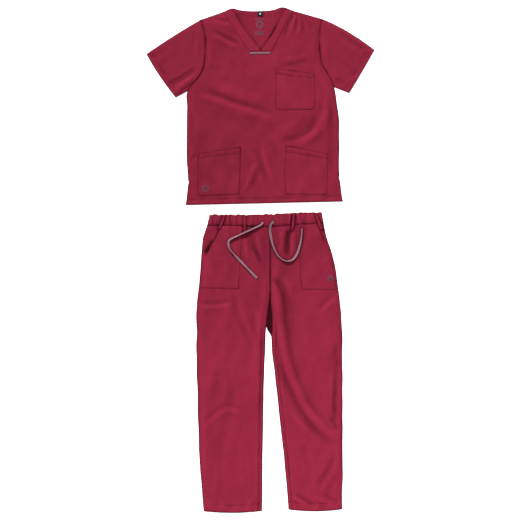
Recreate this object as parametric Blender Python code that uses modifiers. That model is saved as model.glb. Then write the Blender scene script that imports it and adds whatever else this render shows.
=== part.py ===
"""Medical scrubs set laid flat on a surface: a short-sleeved V-neck top above a pair of trousers.

Metres, +Z up. The origin is the middle of the flat underside, +Y runs from the trouser hems up to
the neck and +X runs to the wearer's left, so pieces on the wearer's right have negative X.
Every back piece lies flat on the surface. The front pieces lie on them as relief, pockets and bands
lie on the fronts, and sleeves and waistband are flattened tubes.
"""

from collections import namedtuple

import bmesh
import bpy
from mathutils import Vector
from mathutils.bvhtree import BVHTree

# Cloth and the clearances of its layers.
CLOTH = 0.0012
BAND_CLOTH = 0.0016
GAP = 0.0003
SEAM_GAP = 0.0006
SHEET_BASE = CLOTH + GAP
CELL = 0.031

# How far round each of its points a laid piece looks for the highest cloth under it.
LAY_REACH = 0.012

# How the cloth rounds at an edge: it leaves the lower layer and lifts over this width.
ROLL_WIDTH = 0.016
ROLL_LIFT = 0.0016

# The centre front seam stays lifted down to where the fronts part at the crotch.
CENTRE_LIFT = 0.8
CENTRE_END = -0.210
CENTRE_FADE = 0.100

# Flattened tubes.
SLEEVE_HEIGHT = 0.0054
SLEEVE_BULGE = 0.006
SLEEVE_STATIONS = 4
WAIST_HEIGHT = 0.0072
WAIST_STATIONS = 3
WAIST_RISE = 0.0026
WAIST_RISE_REACH = 0.070
GATHER_STEP = 0.0115
GATHER_DEPTH = 0.0007

# Small pieces.
TAB_SIZE = (0.079, 0.010, 0.0012)
TAB_MIDDLE = (0.001, 0.7445)
LABEL_SIZE = (0.020, 0.018, 0.0008)
LABEL_MIDDLE = (0.001, 0.886)
LOOP_WIDTH = 0.012
STRING_RADIUS = 0.0022

CLOTH_COLOUR = (0.283, 0.023, 0.050, 1.0)
TRIM_COLOUR = (0.300, 0.195, 0.235, 1.0)
LABEL_COLOUR = (0.012, 0.010, 0.014, 1.0)

# Each row of the top goes from the right side, past both neck edges, to the left side.
TopRow = namedtuple("TopRow", "side_right neck_right neck_left side_left")
TOP_ROWS = (
    TopRow((-0.213, 0.865), (-0.134, 0.892), (0.120, 0.897), (0.222, 0.868)),
    TopRow((-0.201, 0.826), (-0.108, 0.854), (0.097, 0.857), (0.216, 0.830)),
    TopRow((-0.196, 0.794), (-0.083, 0.818), (0.077, 0.818), (0.213, 0.797)),
    TopRow((-0.196, 0.760), (-0.059, 0.783), (0.058, 0.783), (0.215, 0.757)),
    TopRow((-0.198, 0.728), (-0.037, 0.751), (0.041, 0.751), (0.219, 0.724)),
    TopRow((-0.203, 0.692), (-0.035, 0.712), (0.041, 0.712), (0.226, 0.700)),
    TopRow((-0.222, 0.656), (-0.036, 0.672), (0.040, 0.672), (0.243, 0.672)),
    TopRow((-0.247, 0.627), (-0.037, 0.634), (0.042, 0.636), (0.258, 0.645)),
    TopRow((-0.261, 0.607), (-0.038, 0.610), (0.044, 0.613), (0.267, 0.621)),
    TopRow((-0.262, 0.550), (-0.038, 0.555), (0.044, 0.557), (0.272, 0.562)),
    TopRow((-0.263, 0.490), (-0.038, 0.494), (0.044, 0.496), (0.278, 0.500)),
    TopRow((-0.260, 0.420), (-0.038, 0.424), (0.044, 0.426), (0.281, 0.430)),
    TopRow((-0.258, 0.350), (-0.038, 0.355), (0.044, 0.358), (0.281, 0.362)),
    TopRow((-0.254, 0.277), (-0.038, 0.286), (0.044, 0.289), (0.282, 0.294)),
    TopRow((-0.259, 0.238), (-0.038, 0.245), (0.044, 0.247), (0.288, 0.252)),
    TopRow((-0.266, 0.197), (-0.038, 0.203), (0.044, 0.205), (0.294, 0.210)),
)
NECK_ROW = 4
ARMHOLE_ROW = 8

# The back neck edge between the two shoulder seams.
BACK_NECK = ((-0.100, 0.906), (-0.075, 0.900), (-0.004, 0.896), (0.050, 0.901), (0.080, 0.910))

Cuff = namedtuple("Cuff", "tip corner")
CUFFS = {
    "right": Cuff((-0.409, 0.741), (-0.303, 0.584)),
    "left": Cuff((0.409, 0.756), (0.319, 0.600)),
}

# A plain panel's row runs from one side to the other, its middle lower by the dip.
Row = namedtuple("Row", "x_start y_start x_end y_end dip")
LEG_ROWS = {
    "right": (
        Row(-0.1870, 0.1268, 0.0350, 0.1206, 0.0),
        Row(-0.2050, 0.0790, 0.0355, 0.0790, 0.0),
        Row(-0.2090, 0.0360, 0.0360, 0.0360, 0.0),
        Row(-0.2170, -0.0600, 0.0360, -0.0600, 0.0),
        Row(-0.2220, -0.1080, 0.0355, -0.1080, 0.0),
        Row(-0.2270, -0.1650, 0.0310, -0.1650, 0.0),
        Row(-0.2300, -0.2150, 0.0250, -0.2150, 0.0),
        Row(-0.2300, -0.2620, 0.0180, -0.2620, 0.0),
        Row(-0.2300, -0.3300, 0.0120, -0.3300, 0.0),
        Row(-0.2300, -0.4000, 0.0100, -0.4000, 0.0),
        Row(-0.2230, -0.5040, 0.0070, -0.5040, 0.0),
        Row(-0.2200, -0.6120, 0.0060, -0.6120, 0.0),
        Row(-0.2160, -0.7200, 0.0040, -0.7200, 0.0),
        Row(-0.2090, -0.8060, 0.0040, -0.8060, 0.0),
        Row(-0.2020, -0.9045, 0.0030, -0.9035, 0.006),
    ),
    "left": (
        Row(0.0370, 0.1208, 0.2280, 0.1355, 0.0),
        Row(0.0370, 0.0790, 0.2410, 0.0790, 0.0),
        Row(0.0370, 0.0360, 0.2560, 0.0360, 0.0),
        Row(0.0370, -0.0600, 0.2710, -0.0600, 0.0),
        Row(0.0370, -0.1080, 0.2790, -0.1080, 0.0),
        Row(0.0390, -0.1650, 0.2850, -0.1650, 0.0),
        Row(0.0430, -0.2150, 0.2910, -0.2150, 0.0),
        Row(0.0460, -0.2650, 0.2930, -0.2650, 0.0),
        Row(0.0480, -0.3300, 0.2930, -0.3300, 0.0),
        Row(0.0530, -0.4000, 0.2930, -0.4000, 0.0),
        Row(0.0650, -0.5040, 0.2940, -0.5040, 0.0),
        Row(0.0750, -0.6120, 0.2940, -0.6120, 0.0),
        Row(0.0890, -0.7200, 0.2940, -0.7200, 0.0),
        Row(0.0970, -0.8060, 0.2940, -0.8060, 0.0),
        Row(0.1050, -0.8980, 0.2940, -0.8970, 0.006),
    ),
}

# The back legs reach further in at the crotch than the fronts do.
BACK_INSEAM = {
    "right": ((0.0360, 0.1206), (0.0360, -0.2250), (0.0240, -0.2480), (0.0180, -0.2620)),
    "left": ((0.0370, 0.1208), (0.0370, -0.2620), (0.0430, -0.3000), (0.0480, -0.3300)),
}
INSEAM_ROW = {"right": 8, "left": 9}

# The waistband between its seam and its upper edge.
WaistRow = namedtuple("WaistRow", "x_seam y_seam x_top y_top")
WAIST_ROWS = (
    WaistRow(-0.187, 0.1285, -0.178, 0.164),
    WaistRow(-0.060, 0.1245, -0.055, 0.163),
    WaistRow(0.036, 0.1220, 0.036, 0.165),
    WaistRow(0.122, 0.1282, 0.127, 0.170),
    WaistRow(0.228, 0.1370, 0.221, 0.172),
)

# The two neck bands, from the shoulder seam down to the point of the V.
BAND_ROWS = {
    "right": (
        Row(-0.1330, 0.8925, -0.0995, 0.9030, 0.0),
        Row(-0.1070, 0.8545, -0.0760, 0.8600, 0.0),
        Row(-0.0820, 0.8185, -0.0490, 0.8200, 0.0),
        Row(-0.0580, 0.7835, -0.0220, 0.7860, 0.0),
        Row(-0.0360, 0.7520, 0.0010, 0.7530, 0.0),
    ),
    "left": (
        Row(0.0900, 0.9000, 0.1190, 0.8975, 0.0),
        Row(0.0700, 0.8590, 0.0960, 0.8575, 0.0),
        Row(0.0500, 0.8180, 0.0760, 0.8185, 0.0),
        Row(0.0260, 0.7850, 0.0570, 0.7835, 0.0),
        Row(0.0020, 0.7530, 0.0400, 0.7520, 0.0),
    ),
}

POCKET_ROWS = {
    "chest_pocket": (
        Row(0.056, 0.690, 0.196, 0.671, 0.0),
        Row(0.056, 0.630, 0.198, 0.624, 0.0),
        Row(0.054, 0.556, 0.198, 0.556, 0.0),
        Row(0.057, 0.545, 0.194, 0.545, 0.0),
        Row(0.068, 0.540, 0.184, 0.540, 0.0),
    ),
    "lower_pocket_right": (
        Row(-0.216, 0.384, -0.070, 0.407, 0.0),
        Row(-0.224, 0.374, -0.070, 0.390, 0.0),
        Row(-0.225, 0.300, -0.071, 0.310, 0.0),
        Row(-0.225, 0.229, -0.073, 0.236, 0.0),
    ),
    "lower_pocket_left": (
        Row(0.092, 0.413, 0.244, 0.383, 0.0),
        Row(0.086, 0.320, 0.243, 0.310, 0.0),
        Row(0.091, 0.235, 0.240, 0.235, 0.0),
    ),
    "trouser_pocket_right": (
        Row(-0.142, 0.117, -0.061, 0.116, 0.0),
        Row(-0.164, 0.078, -0.065, 0.078, 0.0),
        Row(-0.190, 0.026, -0.069, 0.030, 0.0),
        Row(-0.205, 0.012, -0.070, 0.014, 0.0),
        Row(-0.214, -0.050, -0.073, -0.050, 0.0),
        Row(-0.219, -0.100, -0.076, -0.105, 0.0),
    ),
    "trouser_pocket_left": (
        Row(0.145, 0.116, 0.204, 0.122, 0.0),
        Row(0.145, 0.076, 0.230, 0.078, 0.0),
        Row(0.144, 0.034, 0.250, 0.036, 0.0),
        Row(0.143, 0.010, 0.257, 0.018, 0.0),
        Row(0.143, -0.045, 0.266, -0.045, 0.0),
        Row(0.149, -0.106, 0.275, -0.106, 0.0),
    ),
}

# The middle line of each belt loop, from above the waistband seam to below it.
Loop = namedtuple("Loop", "x_top y_top x_end y_end")
BELT_LOOPS = {
    "belt_loop_side_right": Loop(-0.128, 0.160, -0.146, 0.112),
    "belt_loop_front_right": Loop(-0.055, 0.160, -0.055, 0.101),
    "belt_loop_front_left": Loop(0.122, 0.165, 0.116, 0.108),
    "belt_loop_side_left": Loop(0.202, 0.163, 0.221, 0.110),
}

# The largest folds: a curve in plan through three points, its height (a trough's is below zero) and
# the half width over which it fades.
Fold = namedtuple("Fold", "start middle end height width")
TOP_FOLDS = (
    Fold((-0.236, 0.606), (-0.090, 0.552), (0.076, 0.503), 0.0036, 0.034),
    Fold((-0.216, 0.640), (-0.066, 0.586), (0.060, 0.552), -0.0012, 0.028),
    Fold((0.240, 0.530), (0.205, 0.456), (0.130, 0.422), 0.0034, 0.034),
    Fold((0.170, 0.506), (0.134, 0.474), (0.060, 0.440), -0.0012, 0.026),
    Fold((0.004, 0.416), (0.026, 0.352), (0.050, 0.282), 0.0026, 0.026),
    Fold((-0.006, 0.366), (-0.032, 0.300), (-0.058, 0.226), 0.0022, 0.026),
    Fold((-0.170, 0.830), (-0.130, 0.806), (-0.078, 0.776), -0.0012, 0.024),
    Fold((0.150, 0.880), (0.168, 0.840), (0.188, 0.800), 0.0018, 0.022),
)
LEG_FOLDS = (
    Fold((0.052, 0.000), (0.056, -0.130), (0.074, -0.282), 0.0030, 0.030),
    Fold((0.074, -0.282), (0.130, -0.440), (0.240, -0.576), 0.0030, 0.032),
    Fold((0.076, -0.400), (0.126, -0.508), (0.206, -0.618), -0.0012, 0.030),
    Fold((-0.204, -0.612), (-0.117, -0.545), (-0.049, -0.567), 0.0018, 0.028),
    Fold((-0.050, 0.060), (-0.046, 0.030), (-0.040, -0.010), 0.0018, 0.024),
    Fold((0.270, -0.716), (0.240, -0.772), (0.200, -0.830), 0.0022, 0.028),
    Fold((-0.212, -0.172), (-0.156, -0.176), (-0.096, -0.166), 0.0018, 0.024),
)

# The free ends of the drawstring, from their buttonholes in the waistband to their cut ends.
STRING_ROUTES = {
    "drawstring_right": (
        (0.011, 0.1370, 0.0108),
        (0.004, 0.1270, 0.0106),
        (-0.020, 0.1150, 0.0100),
        (-0.052, 0.1000, 0.0126),
        (-0.085, 0.0840, 0.0106),
        (-0.108, 0.0700, 0.0098),
        (-0.1135, 0.0540, 0.0094),
        (-0.106, 0.0360, 0.0092),
        (-0.088, 0.0150, 0.0092),
        (-0.066, -0.0080, 0.0086),
        (-0.040, -0.0350, 0.0076),
        (-0.011, -0.0650, 0.0073),
    ),
    "drawstring_left": (
        (0.051, 0.1390, 0.0104),
        (0.040, 0.1280, 0.0107),
        (0.0365, 0.1100, 0.0094),
        (0.039, 0.0860, 0.0088),
        (0.046, 0.0560, 0.0080),
        (0.060, 0.0230, 0.0074),
        (0.078, 0.0040, 0.0074),
        (0.098, -0.0040, 0.0073),
        (0.118, 0.0020, 0.0074),
        (0.134, 0.0240, 0.0082),
        (0.143, 0.0520, 0.0099),
        (0.149, 0.0840, 0.0106),
        (0.150, 0.1140, 0.0114),
    ),
}
STRING_POINTS = 34

DOWN = Vector((0.0, 0.0, -1.0))


def clear_scene():
    for thing in list(bpy.data.objects):
        bpy.data.objects.remove(thing, do_unlink=True)


def make_material(name, colour, roughness):
    material = bpy.data.materials.new(name)
    material.use_nodes = True
    shader = material.node_tree.nodes["Principled BSDF"]
    shader.inputs["Base Color"].default_value = colour
    shader.inputs["Roughness"].default_value = roughness
    shader.inputs["Metallic"].default_value = 0.0
    return material


def add_object(name, data, material, collection):
    thing = bpy.data.objects.new(name, data)
    data.materials.append(material)
    collection.objects.link(thing)
    return thing


def add_wall(thing, thickness, side):
    wall = thing.modifiers.new("wall", "SOLIDIFY")
    wall.thickness = thickness
    wall.offset = side


def between(first, second, share):
    return tuple(a + (b - a) * share for a, b in zip(first, second))


def smooth_step(share):
    share = min(max(share, 0.0), 1.0)
    return share * share * (3.0 - 2.0 * share)


def fold_height(folds, x, y):
    """The sum of the folds at a point in plan, each fading to its sides and its ends."""
    total = 0.0
    for fold in folds:
        nearest = fold.width
        along = 0.0
        for step in range(17):
            share = step / 16
            first = between(fold.start, fold.middle, share)
            second = between(fold.middle, fold.end, share)
            place = between(first, second, share)
            distance = ((x - place[0]) ** 2 + (y - place[1]) ** 2) ** 0.5
            if distance < nearest:
                nearest = distance
                along = share
        if nearest < fold.width:
            side_fade = smooth_step(1.0 - nearest / fold.width)
            end_fade = smooth_step(4.0 * min(along, 1.0 - along) + 0.25)
            total += fold.height * side_fade * end_fade
    return total


def across_shares(width):
    """Shares across a row: one narrow cell at each edge, where the cloth rounds, and even cells inside."""
    edge = 0.5 * ROLL_WIDTH / width
    cells = max(2, round((1.0 - 2.0 * edge) * width / CELL))
    inner = [edge + (1.0 - 2.0 * edge) * cell / cells for cell in range(cells + 1)]
    return [0.0] + inner + [1.0]


def rows_between(knots):
    """Extra rows of knots, evenly spaced between the given rows, no more than a cell apart."""
    filled = [knots[0]]
    for first, second in zip(knots, knots[1:]):
        drop = max(abs(a[1] - b[1]) for a, b in zip(first, second))
        steps = max(1, round(drop / CELL))
        for step in range(1, steps + 1):
            share = step / steps
            filled.append([between(a, b, share) for a, b in zip(first, second)])
    return filled


def row_points(row, shares):
    """Points in plan across one row that dips in the middle."""
    points = []
    for share in shares:
        x, y = between((row[0][0], row[0][1]), (row[1][0], row[1][1]), share)
        points.append((x, y - row[2][1] * 4.0 * share * (1.0 - share)))
    return points


def panel_grid(rows, shares):
    """Points in plan over a panel that is given by its rows."""
    knots = [[(row.x_start, row.y_start), (row.x_end, row.y_end), (0.0, row.dip)] for row in rows]
    return [row_points(row, shares) for row in rows_between(knots)]


def sheet_object(name, grid, material, collection, thickness=CLOTH, removed=None):
    """A wall of cloth that stands on a grid of underside points, rows from the top of the piece down."""
    width = len(grid[0])
    cloth = bmesh.new()
    bmesh.ops.create_grid(cloth, x_segments=width - 1, y_segments=len(grid) - 1, size=0.5)
    places = [point for row in reversed(grid) for point in row]
    for vertex, place in zip(cloth.verts, places):
        vertex.co = place
    if removed:
        cloth.verts.index_update()
        unwanted = []
        for face in cloth.faces:
            row, column = divmod(min(vertex.index for vertex in face.verts), width)
            if removed(len(grid) - 2 - row, column):
                unwanted.append(face)
        bmesh.ops.delete(cloth, geom=unwanted, context="FACES")
    data = bpy.data.meshes.new(name)
    cloth.to_mesh(data)
    cloth.free()
    thing = add_object(name, data, material, collection)
    add_wall(thing, thickness, 1.0)
    return thing


def flat_object(name, outline, material, collection):
    """A flat piece of cloth lying on the surface, cut to an outline."""
    data = bpy.data.curves.new(name, "CURVE")
    data.dimensions = "2D"
    data.fill_mode = "BOTH"
    data.extrude = 0.5 * CLOTH
    spline = data.splines.new("POLY")
    spline.points.add(len(outline) - 1)
    for point, place in zip(spline.points, outline):
        point.co = (place[0], place[1], 0.0, 1.0)
    spline.use_cyclic_u = True
    thing = add_object(name, data, material, collection)
    thing.location.z = 0.5 * CLOTH
    return thing


def tube_object(name, stations, material, collection, thickness):
    """A flattened tube through rings of outer points, open at both ends, with its wall inside."""
    tube = bmesh.new()
    rings = [[tube.verts.new(place) for place in station] for station in stations]
    count = len(rings[0])
    for first, second in zip(rings, rings[1:]):
        for index in range(count):
            following = (index + 1) % count
            tube.faces.new((first[index], first[following], second[following], second[index]))
    bmesh.ops.recalc_face_normals(tube, faces=tube.faces)
    data = bpy.data.meshes.new(name)
    tube.to_mesh(data)
    tube.free()
    thing = add_object(name, data, material, collection)
    add_wall(thing, thickness, -1.0)
    return thing


def flat_ring(places, height, lifts):
    """A ring of points round a flattened tube: out along the underside and back along the top."""
    rounding = 0.5 * height
    length = (Vector(places[-1]) - Vector(places[0])).length
    start = between(places[0], places[-1], rounding / length)
    end = between(places[-1], places[0], rounding / length)
    inner = [start] + list(places[1:-1]) + [end]
    ring = [(x, y, 0.0) for x, y in inner]
    ring.append((places[-1][0], places[-1][1], rounding))
    ring.extend((x, y, height + lift) for (x, y), lift in zip(reversed(inner), reversed(lifts)))
    ring.append((places[0][0], places[0][1], rounding))
    return ring


def surface_trees(things):
    """Search trees of finished pieces, to lay the next ones on."""
    bpy.context.view_layer.update()
    graph = bpy.context.evaluated_depsgraph_get()
    trees = []
    for thing in things:
        finished = thing.evaluated_get(graph)
        data = finished.to_mesh()
        places = [thing.matrix_world @ vertex.co for vertex in data.vertices]
        trees.append(BVHTree.FromPolygons(places, [tuple(face.vertices) for face in data.polygons]))
        finished.to_mesh_clear()
    return trees


def resting_height(trees, x, y, reach):
    """The top of the highest piece within reach of a point in plan."""
    highest = 0.0
    for step_x in (-1.0, -0.5, 0.0, 0.5, 1.0):
        for step_y in (-1.0, -0.5, 0.0, 0.5, 1.0):
            above = Vector((x + step_x * reach, y + step_y * reach, 0.1))
            for tree in trees:
                found = tree.ray_cast(above, DOWN)[0]
                if found is not None:
                    highest = max(highest, found.z)
    return highest


def laid_grid(points, trees, reach):
    """Lifts a grid of points in plan on to the pieces below it."""
    return [[(x, y, resting_height(trees, x, y, reach) + GAP) for x, y in row] for row in points]


def make_top_front(material, collection):
    """The front of the top, one sheet with the V cut out above its neck row."""
    knots = rows_between([list(row) for row in TOP_ROWS])
    neck_rows = len(rows_between([list(row) for row in TOP_ROWS[:NECK_ROW + 1]])) - 1
    side_cells = 7
    neck_cells = 3
    grid = []
    for side_right, neck_right, neck_left, side_left in knots:
        row = []
        edge = 0.5 * ROLL_WIDTH / abs(neck_right[0] - side_right[0])
        shares = [0.0] + [edge + (1.0 - edge) * cell / side_cells for cell in range(side_cells)]
        row.extend(between(side_right, neck_right, share) for share in shares)
        row.extend(between(neck_right, neck_left, cell / neck_cells) for cell in range(neck_cells + 1))
        row.extend(between(side_left, neck_left, share) for share in reversed(shares))
        heights = []
        for x, y in row:
            edge_distance = min(x - side_right[0], side_left[0] - x)
            lift = ROLL_LIFT * smooth_step(edge_distance / ROLL_WIDTH)
            folds = fold_height(TOP_FOLDS, x, y) * smooth_step(edge_distance / ROLL_WIDTH)
            heights.append((x, y, SHEET_BASE + lift + folds))
        grid.append(heights)
    first_neck = len(shares)
    return sheet_object(
        "top_front",
        grid,
        material,
        collection,
        removed=lambda row, column: row < neck_rows and first_neck <= column < first_neck + neck_cells,
    )


def make_top_back(material, collection):
    """The flat back of the top, which shows inside the V."""
    outline = list(BACK_NECK)
    outline.extend(row.side_left for row in TOP_ROWS)
    outline.extend(row.side_right for row in reversed(TOP_ROWS))
    return flat_object("top_back", outline, material, collection)


def make_neck_band(side, material, collection):
    """The band along one edge of the V, level with the front that it is sewn to."""
    grid = []
    for points in panel_grid(BAND_ROWS[side], (0.0, 0.5, 1.0)):
        grid.append([(x, y, SHEET_BASE + ROLL_LIFT) for x, y in points])
    return sheet_object("neck_band_" + side, grid, material, collection)


def make_sleeve(side, material, collection):
    """A short sleeve folded flat along its top, from the armhole seam to the cuff."""
    knots = rows_between([list(row) for row in TOP_ROWS[:ARMHOLE_ROW + 1]])
    armhole = [knot[0] if side == "right" else knot[3] for knot in knots]
    cuff = CUFFS[side]
    outward = -1.0 if side == "right" else 1.0
    lengths = [0.0]
    for first, second in zip(armhole, armhole[1:]):
        lengths.append(lengths[-1] + (Vector(second) - Vector(first)).length)
    stations = []
    for station in range(SLEEVE_STATIONS + 1):
        along = station / SLEEVE_STATIONS
        places = []
        lifts = []
        for seam, length in zip(armhole, lengths):
            across = length / lengths[-1]
            start = (seam[0] + outward * SEAM_GAP, seam[1])
            x, y = between(start, between(cuff.tip, cuff.corner, across), along)
            bulge = SLEEVE_BULGE * 4.0 * along * (1.0 - along) * (1.0 - across) ** 2
            places.append((x, y + bulge))
            lifts.append(0.0)
        stations.append(flat_ring(places, SLEEVE_HEIGHT, lifts))
    return tube_object("sleeve_" + side, stations, material, collection, CLOTH)


def make_leg_front(side, material, collection):
    """The front of one trouser leg, lifted where it meets the waistband."""
    rows = LEG_ROWS[side]
    shares = across_shares(rows[6].x_end - rows[6].x_start)
    grid = []
    for points in panel_grid(rows, shares):
        outer, inner = (points[0][0], points[-1][0]) if side == "right" else (points[-1][0], points[0][0])
        lifted = []
        for x, y in points:
            centre = CENTRE_LIFT * smooth_step((y - CENTRE_END) / CENTRE_FADE)
            inner_roll = max(centre, smooth_step(abs(x - inner) / ROLL_WIDTH))
            roll = min(inner_roll, smooth_step(abs(x - outer) / ROLL_WIDTH))
            rise = WAIST_RISE * smooth_step(1.0 - (rows[0].y_start - y) / WAIST_RISE_REACH)
            height = SHEET_BASE + (ROLL_LIFT + rise + fold_height(LEG_FOLDS, x, y)) * roll
            lifted.append((x, y, height))
        grid.append(lifted)
    return sheet_object("leg_front_" + side, grid, material, collection)


def make_leg_back(side, material, collection):
    """The flat back of one trouser leg, which shows in the gap at the crotch."""
    rows = LEG_ROWS[side]
    low_rows = rows[INSEAM_ROW[side]:]
    hem = rows[-1]
    if side == "right":
        outer = [(row.x_start, row.y_start) for row in rows]
        inner = [(row.x_end, row.y_end) for row in low_rows]
    else:
        outer = [(row.x_end, row.y_end) for row in rows]
        inner = [(row.x_start, row.y_start) for row in low_rows]
    middle = between(outer[-1], inner[-1], 0.5)
    outline = list(BACK_INSEAM[side]) + inner
    outline.append((middle[0], middle[1] - hem.dip))
    outline.extend(reversed(outer))
    return flat_object("leg_back_" + side, outline, material, collection)


def make_waistband(material, collection):
    """The elastic waistband, a flattened loop with shallow gathers."""
    knots = [WAIST_ROWS[0]]
    for first, second in zip(WAIST_ROWS, WAIST_ROWS[1:]):
        steps = round((second.x_seam - first.x_seam) / GATHER_STEP)
        knots.extend(between(first, second, step / steps) for step in range(1, steps + 1))
    stations = []
    for station in range(WAIST_STATIONS + 1):
        share = station / WAIST_STATIONS
        places = []
        lifts = []
        for index, (x_seam, y_seam, x_top, y_top) in enumerate(knots):
            places.append(between((x_seam, y_seam), (x_top, y_top), share))
            lifts.append(GATHER_DEPTH * (1.0 if index % 2 else -1.0))
        stations.append(flat_ring(places, WAIST_HEIGHT, lifts))
    return tube_object("waistband", stations, material, collection, BAND_CLOTH)


def make_pocket(name, under, material, collection):
    """A patch pocket whose rows of points are laid on the panel under it."""
    rows = POCKET_ROWS[name]
    width = max(row.x_end - row.x_start for row in rows)
    cells = max(2, round(width / CELL))
    shares = [cell / cells for cell in range(cells + 1)]
    grid = laid_grid(panel_grid(rows, shares), surface_trees([under]), LAY_REACH)
    return sheet_object(name, grid, material, collection)


def make_belt_loop(name, under, material, collection):
    """A narrow strip sewn across the waistband seam."""
    loop = BELT_LOOPS[name]
    line = Vector((loop.x_end - loop.x_top, loop.y_end - loop.y_top)).normalized()
    half = Vector((-line.y, line.x)) * 0.5 * LOOP_WIDTH
    points = []
    for step in range(6):
        x, y = between((loop.x_top, loop.y_top), (loop.x_end, loop.y_end), step / 5)
        points.append([(x - half.x, y - half.y), (x, y), (x + half.x, y + half.y)])
    grid = laid_grid(points, surface_trees(under), LAY_REACH)
    return sheet_object(name, grid, material, collection)


def make_bar(name, size, middle, under, material, collection):
    """A small flat strip, such as the neck tab or the size label, with softened edges."""
    height = resting_height(surface_trees(under), middle[0], middle[1], 0.5 * size[0]) + GAP
    bar = bmesh.new()
    bmesh.ops.create_cube(bar, size=1.0)
    bmesh.ops.scale(bar, vec=size, verts=bar.verts)
    bmesh.ops.bevel(bar, geom=bar.edges, offset=0.0002, segments=1, affect="EDGES")
    data = bpy.data.meshes.new(name)
    bar.to_mesh(data)
    bar.free()
    thing = add_object(name, data, material, collection)
    thing.location = (middle[0], middle[1], height + 0.5 * size[2])
    return thing


def curve_point(route, share):
    """A point of the smooth curve through a route, at a share of its spans."""
    span = min(int(share * (len(route) - 1)), len(route) - 2)
    local = share * (len(route) - 1) - span
    knots = [Vector(route[min(max(span + step, 0), len(route) - 1)]) for step in (-1, 0, 1, 2)]
    leaving = 0.5 * (knots[2] - knots[0])
    arriving = 0.5 * (knots[3] - knots[1])
    square = local * local
    cube = square * local
    place = knots[1] * (2.0 * cube - 3.0 * square + 1.0) + leaving * (cube - 2.0 * square + local)
    return place + knots[2] * (3.0 * square - 2.0 * cube) + arriving * (cube - square)


def make_string(name, material, collection):
    """One free end of the drawstring, lying on the trousers."""
    data = bpy.data.curves.new(name, "CURVE")
    data.dimensions = "3D"
    data.bevel_depth = STRING_RADIUS
    data.bevel_resolution = 2
    data.use_fill_caps = True
    spline = data.splines.new("POLY")
    spline.points.add(STRING_POINTS - 1)
    for index, point in enumerate(spline.points):
        place = curve_point(STRING_ROUTES[name], index / (STRING_POINTS - 1))
        point.co = (place.x, place.y, place.z, 1.0)
    return add_object(name, data, material, collection)


def main():
    clear_scene()
    collection = bpy.data.collections.new("medical_scrubs_set")
    bpy.context.scene.collection.children.link(collection)
    cloth = make_material("scrubs_cloth", CLOTH_COLOUR, 0.85)
    trim = make_material("grey_trim", TRIM_COLOUR, 0.8)
    label = make_material("label_cloth", LABEL_COLOUR, 0.7)

    back = make_top_back(cloth, collection)
    front = make_top_front(cloth, collection)
    bands = []
    for side in ("right", "left"):
        make_sleeve(side, cloth, collection)
        bands.append(make_neck_band(side, cloth, collection))
    make_bar("neck_tab", TAB_SIZE, TAB_MIDDLE, [front] + bands, trim, collection)
    make_bar("size_label", LABEL_SIZE, LABEL_MIDDLE, [back], label, collection)
    for name in ("chest_pocket", "lower_pocket_right", "lower_pocket_left"):
        make_pocket(name, front, cloth, collection)

    waistband = make_waistband(cloth, collection)
    for side in ("right", "left"):
        make_leg_back(side, cloth, collection)
        leg = make_leg_front(side, cloth, collection)
        pocket = make_pocket("trouser_pocket_" + side, leg, cloth, collection)
        for loop in BELT_LOOPS:
            if loop.endswith(side):
                make_belt_loop(loop, [leg, pocket, waistband], cloth, collection)
    for name in STRING_ROUTES:
        make_string(name, trim, collection)


main()
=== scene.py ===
"""Medical scrubs set laid flat: a V-neck top above drawstring trousers, made round the frame.

Every cloth piece is a fine grid in plan, lifted by a height function that holds its folds, hems
and seams, and given a thin wall. Pockets, bands and loops are laid on the heights of what is
under them. Left and right are the wearer's, so right is at negative X.
"""

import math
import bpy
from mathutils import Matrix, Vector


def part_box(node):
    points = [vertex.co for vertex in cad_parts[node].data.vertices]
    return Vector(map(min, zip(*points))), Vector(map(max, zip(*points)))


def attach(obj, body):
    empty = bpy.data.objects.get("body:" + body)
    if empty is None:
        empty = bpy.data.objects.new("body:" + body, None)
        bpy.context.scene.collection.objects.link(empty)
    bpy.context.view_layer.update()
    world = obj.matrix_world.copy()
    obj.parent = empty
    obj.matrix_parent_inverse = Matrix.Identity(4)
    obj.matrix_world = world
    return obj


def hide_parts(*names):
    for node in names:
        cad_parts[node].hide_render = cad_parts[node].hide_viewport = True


bl_info = {
    "name": "Scrubs Set Maker",
    "version": (1, 0, 0),
    "blender": (4, 5, 0),
    "location": "View3D > Sidebar > Scrubs",
    "description": "Builds a laid-out set of medical scrubs with its stitching, tape and stage",
    "category": "Add Mesh",
}

from collections import namedtuple

import bmesh
import bpy
import numpy as np
from mathutils import Matrix, Vector, noise

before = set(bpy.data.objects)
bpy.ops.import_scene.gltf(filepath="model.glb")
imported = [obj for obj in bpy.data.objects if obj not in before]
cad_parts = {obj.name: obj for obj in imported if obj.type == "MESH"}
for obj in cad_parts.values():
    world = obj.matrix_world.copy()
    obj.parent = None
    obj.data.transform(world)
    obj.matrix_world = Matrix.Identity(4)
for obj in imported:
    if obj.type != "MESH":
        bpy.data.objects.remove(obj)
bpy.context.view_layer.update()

# --- Cloth, layers and grid sizes, in metres.

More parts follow.
